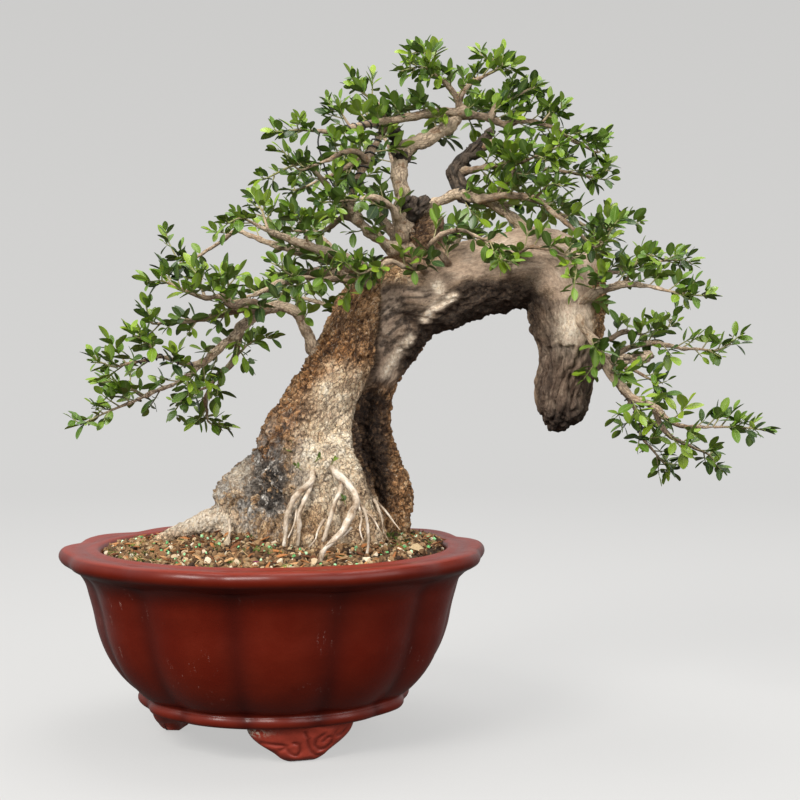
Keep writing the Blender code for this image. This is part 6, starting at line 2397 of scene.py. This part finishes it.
@dataclass
class Ground:
    """The soil in the pot, and all that lies on it."""

    rings: int = 60
    turns: int = 132
    edge: float = 168.0
    wall_level: float = 181.0
    grit_depth: float = 1.6
    fibre_count: int = 260
    loose: tuple[tuple[tuple[float, float], Triple, float, int], ...] = (
        ((7.0, -72.0), (10.5, 6.5, 5.6), 1.0, 91),
        ((-141.0, -126.0), (5.0, 3.2, 0.7), 0.0, 92),
        ((-250.0, -60.0), (6.0, 4.4, 3.6), 0.75, 93),
    )

    UNDERSIDE = ((159.5, 130.0), (149.5, 92.0), (133.5, 66.5), (107.0, 52.5), (37.0, 54.3))

    def open_ground(self, points: np.ndarray) -> np.ndarray:
        """1 where nothing stands on the soil, 0 under the trunk."""
        bodies = (*Trunk.BARK_BODIES, RIGHT_RIB)
        gaps = np.minimum.reduce([gap_to(points, smooth_route(stations(rows), 6.0)) for rows in bodies])
        return ease(gaps, -3.0, 0.5)

    def surface(self) -> tuple[np.ndarray, Faces]:
        """The soil's upper face: its points, from the middle out, and its faces."""
        radii = np.linspace(0.0, self.edge, self.rings + 1)[1:]
        angles = np.arange(self.turns) * math.tau / self.turns
        x = np.concatenate(((0.0,), (radii[:, None] * np.cos(angles)).ravel()))
        y = np.concatenate(((0.0,), (radii[:, None] * np.sin(angles)).ravel()))
        away = np.hypot(x, y)
        z = np.where(away > self.edge - 1, self.wall_level, soil_height(x, y) - self.grit_depth)
        points = np.stack((x + POT_AXIS_X, y, z), axis=1)
        points[:, 2] += 1.1 * lumps(points, 6.0, 2, 3.0) * (away < self.edge - 2)
        faces: Faces = [(0, 1 + turn, 1 + (turn + 1) % self.turns) for turn in range(self.turns)]
        return points, faces + ring_faces(1, self.rings, self.turns)

    def bed(self) -> Piece:
        """The closed body of soil under the grit."""
        points, faces = self.surface()
        start = len(points) - self.turns
        angles = np.arange(self.turns) * math.tau / self.turns
        rings = []
        for radius, height in self.UNDERSIDE:
            level = np.full(self.turns, height)
            ring = (radius * np.cos(angles) + POT_AXIS_X, radius * np.sin(angles), level)
            rings.append(np.stack(ring, axis=1))
        whole = np.concatenate((points, *rings))
        faces += ring_faces(start, len(rings) + 1, self.turns)
        last = len(whole) - self.turns
        faces.append(tuple(reversed(range(last, last + self.turns))))
        draft = Draft()
        draft.add(whole, faces, tint=np.full(len(whole), 0.5))
        return draft.handed("soil_bed", SOIL_BED.build(), Slot.EARTH, "soil")

    def strew(self, tree: GrowthTree, pieces: Kit, plan: Strewing, weight: np.ndarray | None = None) -> Piece:
        """Strews one kind of small piece over the open ground."""
        points, faces = self.surface()
        draft = Draft()
        openness = self.open_ground(points) if weight is None else weight
        openness = openness * (np.hypot(points[:, 0] - POT_AXIS_X, points[:, 1]) < self.edge - 2.5)
        draft.add(points, faces, open_ground=openness)
        obj = draft.made(plan.name, smooth=False)
        tree.apply(
            obj,
            {
                "Pieces": pieces,
                "Spacing": plan.spacing * MM,
                "Density": plan.density,
                "Smallest": plan.smallest * MM,
                "Largest": plan.largest * MM,
                "Tumble": plan.tumble,
                "Lift": plan.lift * MM,
                "Seed": plan.seed,
                "Finish": plan.finish.build(),
            },
        )
        return hand_over(obj, Slot.EARTH, "soil")

    def fibres(self) -> Piece:
        """Dry rootlets and strips that curl over the grit."""
        draw = random.Random("soil fibres")
        draft = Draft()
        for _ in range(self.fibre_count):
            turn, reach = draw.uniform(0.0, math.tau), self.edge * math.sqrt(draw.uniform(0.05, 0.92))
            heading = draw.uniform(0.0, math.tau)
            x, y = reach * math.cos(turn), reach * math.sin(turn)
            span, rows = draw.uniform(2.5, 5.5), []
            for step in range(5):
                lift = draw.uniform(0.6, 3.4) if 0 < step < 4 else 0.0
                ground = float(soil_height(np.array(x), np.array(y)))
                rows.append((Vector((x + POT_AXIS_X, y, ground + lift)), 0.55 - 0.06 * step))
                heading += draw.uniform(-0.9, 0.9)
                x, y = x + span * math.cos(heading), y + span * math.sin(heading)
            if math.hypot(x, y) < self.edge - 3.0:
                draft.tube(smooth_route(rows, 2.5), 4, tint=draw.uniform(0.0, 1.0))
        return draft.handed("soil_fibres", DRY_FIBRE.build(), Slot.EARTH, "soil")

    def loose_pieces(self) -> Piece:
        """One tan stone at the right, a small stone at the left, and a fallen petal in front."""
        draft = Draft()
        shapes = kit(
            "loose_shapes", [stone_shape(f"loose_{seed}", seed, size) for _, size, _, seed in self.loose]
        )
        for ((x, y), size, tint, _), shown in zip(self.loose, shapes.objects):
            shape = shown.data
            points, _ = points_of(shape)
            ground = float(soil_height(np.array(x - POT_AXIS_X), np.array(y)))
            faces = [tuple(face.vertices) for face in shape.polygons]
            draft.add(
                points * MM + (x, y, ground + size[2] * 0.5 + 1.0), faces, tint=np.full(len(points), tint)
            )
        put_away(shapes)
        return draft.handed("loose_pieces", LOOSE_PIECE.build(), Slot.EARTH, "soil", smooth=False)

    def build(self) -> list[Piece]:
        """Builds the soil and what lies on it."""
        tree = strewn_tree()
        stones = kit(
            "grit_shapes", [stone_shape(f"grit_{seed}", seed, (1.0, 0.86, 0.74)) for seed in range(5)]
        )
        scraps = kit(
            "scrap_shapes", [stone_shape(f"scrap_{seed}", 40 + seed, (1.0, 0.42, 0.16)) for seed in range(3)]
        )
        pellets = kit(
            "pellet_shapes", [stone_shape(f"pellet_{seed}", 70 + seed, (1.0, 1.0, 1.0)) for seed in range(2)]
        )
        tufts = kit("tuft_shapes", [moss_shape(f"tuft_{seed}", seed) for seed in range(3)])
        made = [self.bed()]
        points, _ = self.surface()
        clusters = self.open_ground(points) * ease(lumps(points, 17.0, 3, 77.0), 0.0, 0.35)
        for plan, pieces in zip(STREWN, (stones, stones, scraps, pellets)):
            made.append(self.strew(tree, pieces, plan, clusters if pieces is pellets else None))
        made += [self.fibres(), self.loose_pieces()]
        places = on_board(points)
        patch = 0.8 * near_place(places, (385.0, 534.0), (26.0, 12.0))
        mossy = self.open_ground(points) * held(patch + 0.8 * ease(lumps(points, 30.0, 2, 7.0), 0.30, 0.6))
        plan = Strewing("moss_tufts", 3.4, 60000.0, 2.0, 4.2, 0.3, 1.8, 53, MOSS)
        made.append(self.strew(tree, tufts, plan, mossy))
        put_away(stones, scraps, pellets, tufts)
        return made


# Studio


@dataclass
class Studio:
    """A plain pale bowl for floor and backdrop, soft lights, and the camera at the photograph's place."""

    bowl_radius: float = 5.2
    curve_radius: float = 2.2
    wall_height: float = 5.0
    bowl_colour: Colour = (0.17, 0.168, 0.165)
    bowl_glow: Colour = (0.50, 0.497, 0.49)
    bowl_sides: int = 96
    world_strength: float = 1.0
    low_air: Colour = (0.10, 0.095, 0.09)
    high_air: Colour = (0.88, 0.89, 0.90)
    lens: float = 67.5
    lens_shift: float = -0.04625
    camera_place: Triple = (-0.010, -1.5, 0.370)
    lit_place: Triple = (0.0, 0.0, 0.36)

    LAMPS = (
        ("key_light", (-1.5, -2.3, 2.2), 1.4, 150.0, (1.0, 0.985, 0.955)),
        ("fill_light", (2.2, -2.0, 1.5), 2.2, 52.0, (0.985, 0.99, 1.0)),
        ("top_light", (0.2, 0.1, 2.6), 1.6, 42.0, (1.0, 0.99, 0.97)),
    )

    def bowl(self) -> Piece:
        """The floor that rises into a wall all round."""
        flat = [(radius, 0.0) for radius in np.linspace(0.0, self.bowl_radius - self.curve_radius, 12)[1:]]
        inner, curve = self.bowl_radius - self.curve_radius, self.curve_radius
        bend = [
            (inner + curve * math.sin(t), curve * (1 - math.cos(t)))
            for t in np.linspace(0.0, math.pi / 2, 16)[1:]
        ]
        profile = [*flat, *bend, (self.bowl_radius, self.wall_height)]
        sides = self.bowl_sides
        turns = [math.tau * k / sides for k in range(sides)]
        points = [(0.0, 0.0, 0.0)]
        for radius, height in profile:
            points += [(radius * math.cos(turn), radius * math.sin(turn), height) for turn in turns]
        faces: Faces = [(0, 1 + k, 1 + (k + 1) % sides) for k in range(sides)]
        faces += ring_faces(1, len(profile), sides)
        mesh = bpy.data.meshes.new("studio_bowl")
        mesh.from_pydata(points, [], faces)
        mesh.shade_smooth()
        obj = placed("studio_bowl", mesh)
        paper = PlainFinish("studio_paper", self.bowl_colour, 1.0, 0.0).build()
        shader = paper.node_tree.nodes["Principled BSDF"]
        shader.inputs["Emission Color"].default_value = (*self.bowl_glow, 1.0)
        shader.inputs["Emission Strength"].default_value = 1.0
        shader.inputs["Specular IOR Level"].default_value = 0.0
        mesh.materials.append(paper)
        obj.visible_diffuse = False
        obj.visible_glossy = False
        obj.visible_shadow = False
        return obj

    def light(self, name: str, place: Triple, size: float, power: float, colour: Colour) -> None:
        """A soft square light that faces the tree."""
        lamp = bpy.data.lights.new(name, "AREA")
        lamp.shape = "SQUARE"
        lamp.size = size
        lamp.energy = power
        lamp.color = colour
        obj = placed(name, lamp)
        obj.location = place
        obj.rotation_euler = (Vector(self.lit_place) - Vector(place)).to_track_quat("-Z", "Y").to_euler()

    def camera(self) -> None:
        """Stands at the photograph's place, level, and looks along +Y."""
        lens = bpy.data.cameras.new("photo_camera")
        lens.sensor_width = 36.0
        lens.lens = self.lens
        lens.shift_y = self.lens_shift
        lens.dof.use_dof = False
        obj = placed("photo_camera", lens)
        obj.location = self.camera_place
        obj.rotation_euler = (math.pi / 2, 0.0, 0.0)
        bpy.context.scene.camera = obj

    def build(self) -> None:
        """Builds the studio."""
        self.bowl()
        for lamp in self.LAMPS:
            self.light(*lamp)
        world = bpy.data.worlds.new("studio_air")
        world.use_nodes = True
        tree = world.node_tree
        way = tree.nodes.new("ShaderNodeSeparateXYZ")
        tree.links.new(tree.nodes.new("ShaderNodeTexCoord").outputs["Generated"], way.inputs[0])
        ramp = tree.nodes.new("ShaderNodeValToRGB")
        ramp.color_ramp.elements[0].position = 0.30
        ramp.color_ramp.elements[0].color = (*self.low_air, 1.0)
        ramp.color_ramp.elements[1].position = 0.80
        ramp.color_ramp.elements[1].color = (*self.high_air, 1.0)
        rise = tree.nodes.new("ShaderNodeMapRange")
        rise.inputs["From Min"].default_value = -1.0
        tree.links.new(way.outputs["Z"], rise.inputs["Value"])
        tree.links.new(rise.outputs["Result"], ramp.inputs["Fac"])
        tree.links.new(ramp.outputs["Color"], tree.nodes["Background"].inputs["Color"])
        tree.nodes["Background"].inputs["Strength"].default_value = self.world_strength
        bpy.context.scene.world = world
        bpy.context.scene.view_settings.view_transform = "Standard"
        self.camera()


def dress_drain_mesh() -> None:
    """Gives the shown CAD node of the drain mesh its plastic."""
    node = frame["nodes"]["drain_mesh"]
    node.data.materials.clear()
    node.data.materials.append(PlainFinish("drain_plastic", (0.02, 0.02, 0.022), 0.55).build())


def main() -> None:
    """Builds the bonsai and its studio, from the pot up."""
    logging.basicConfig(level=logging.INFO, format="%(message)s")
    noise.seed_set(NOISE_SEED)
    bowl = LobedPot().build()
    CloudFeet().build(bowl.data.materials[0])
    Ground().build()
    Trunk().build()
    Limbs().build()
    TrainingWires().build()
    Foliage().build()
    dress_drain_mesh()
    Studio().build()


if __name__ == "__main__":
    main()
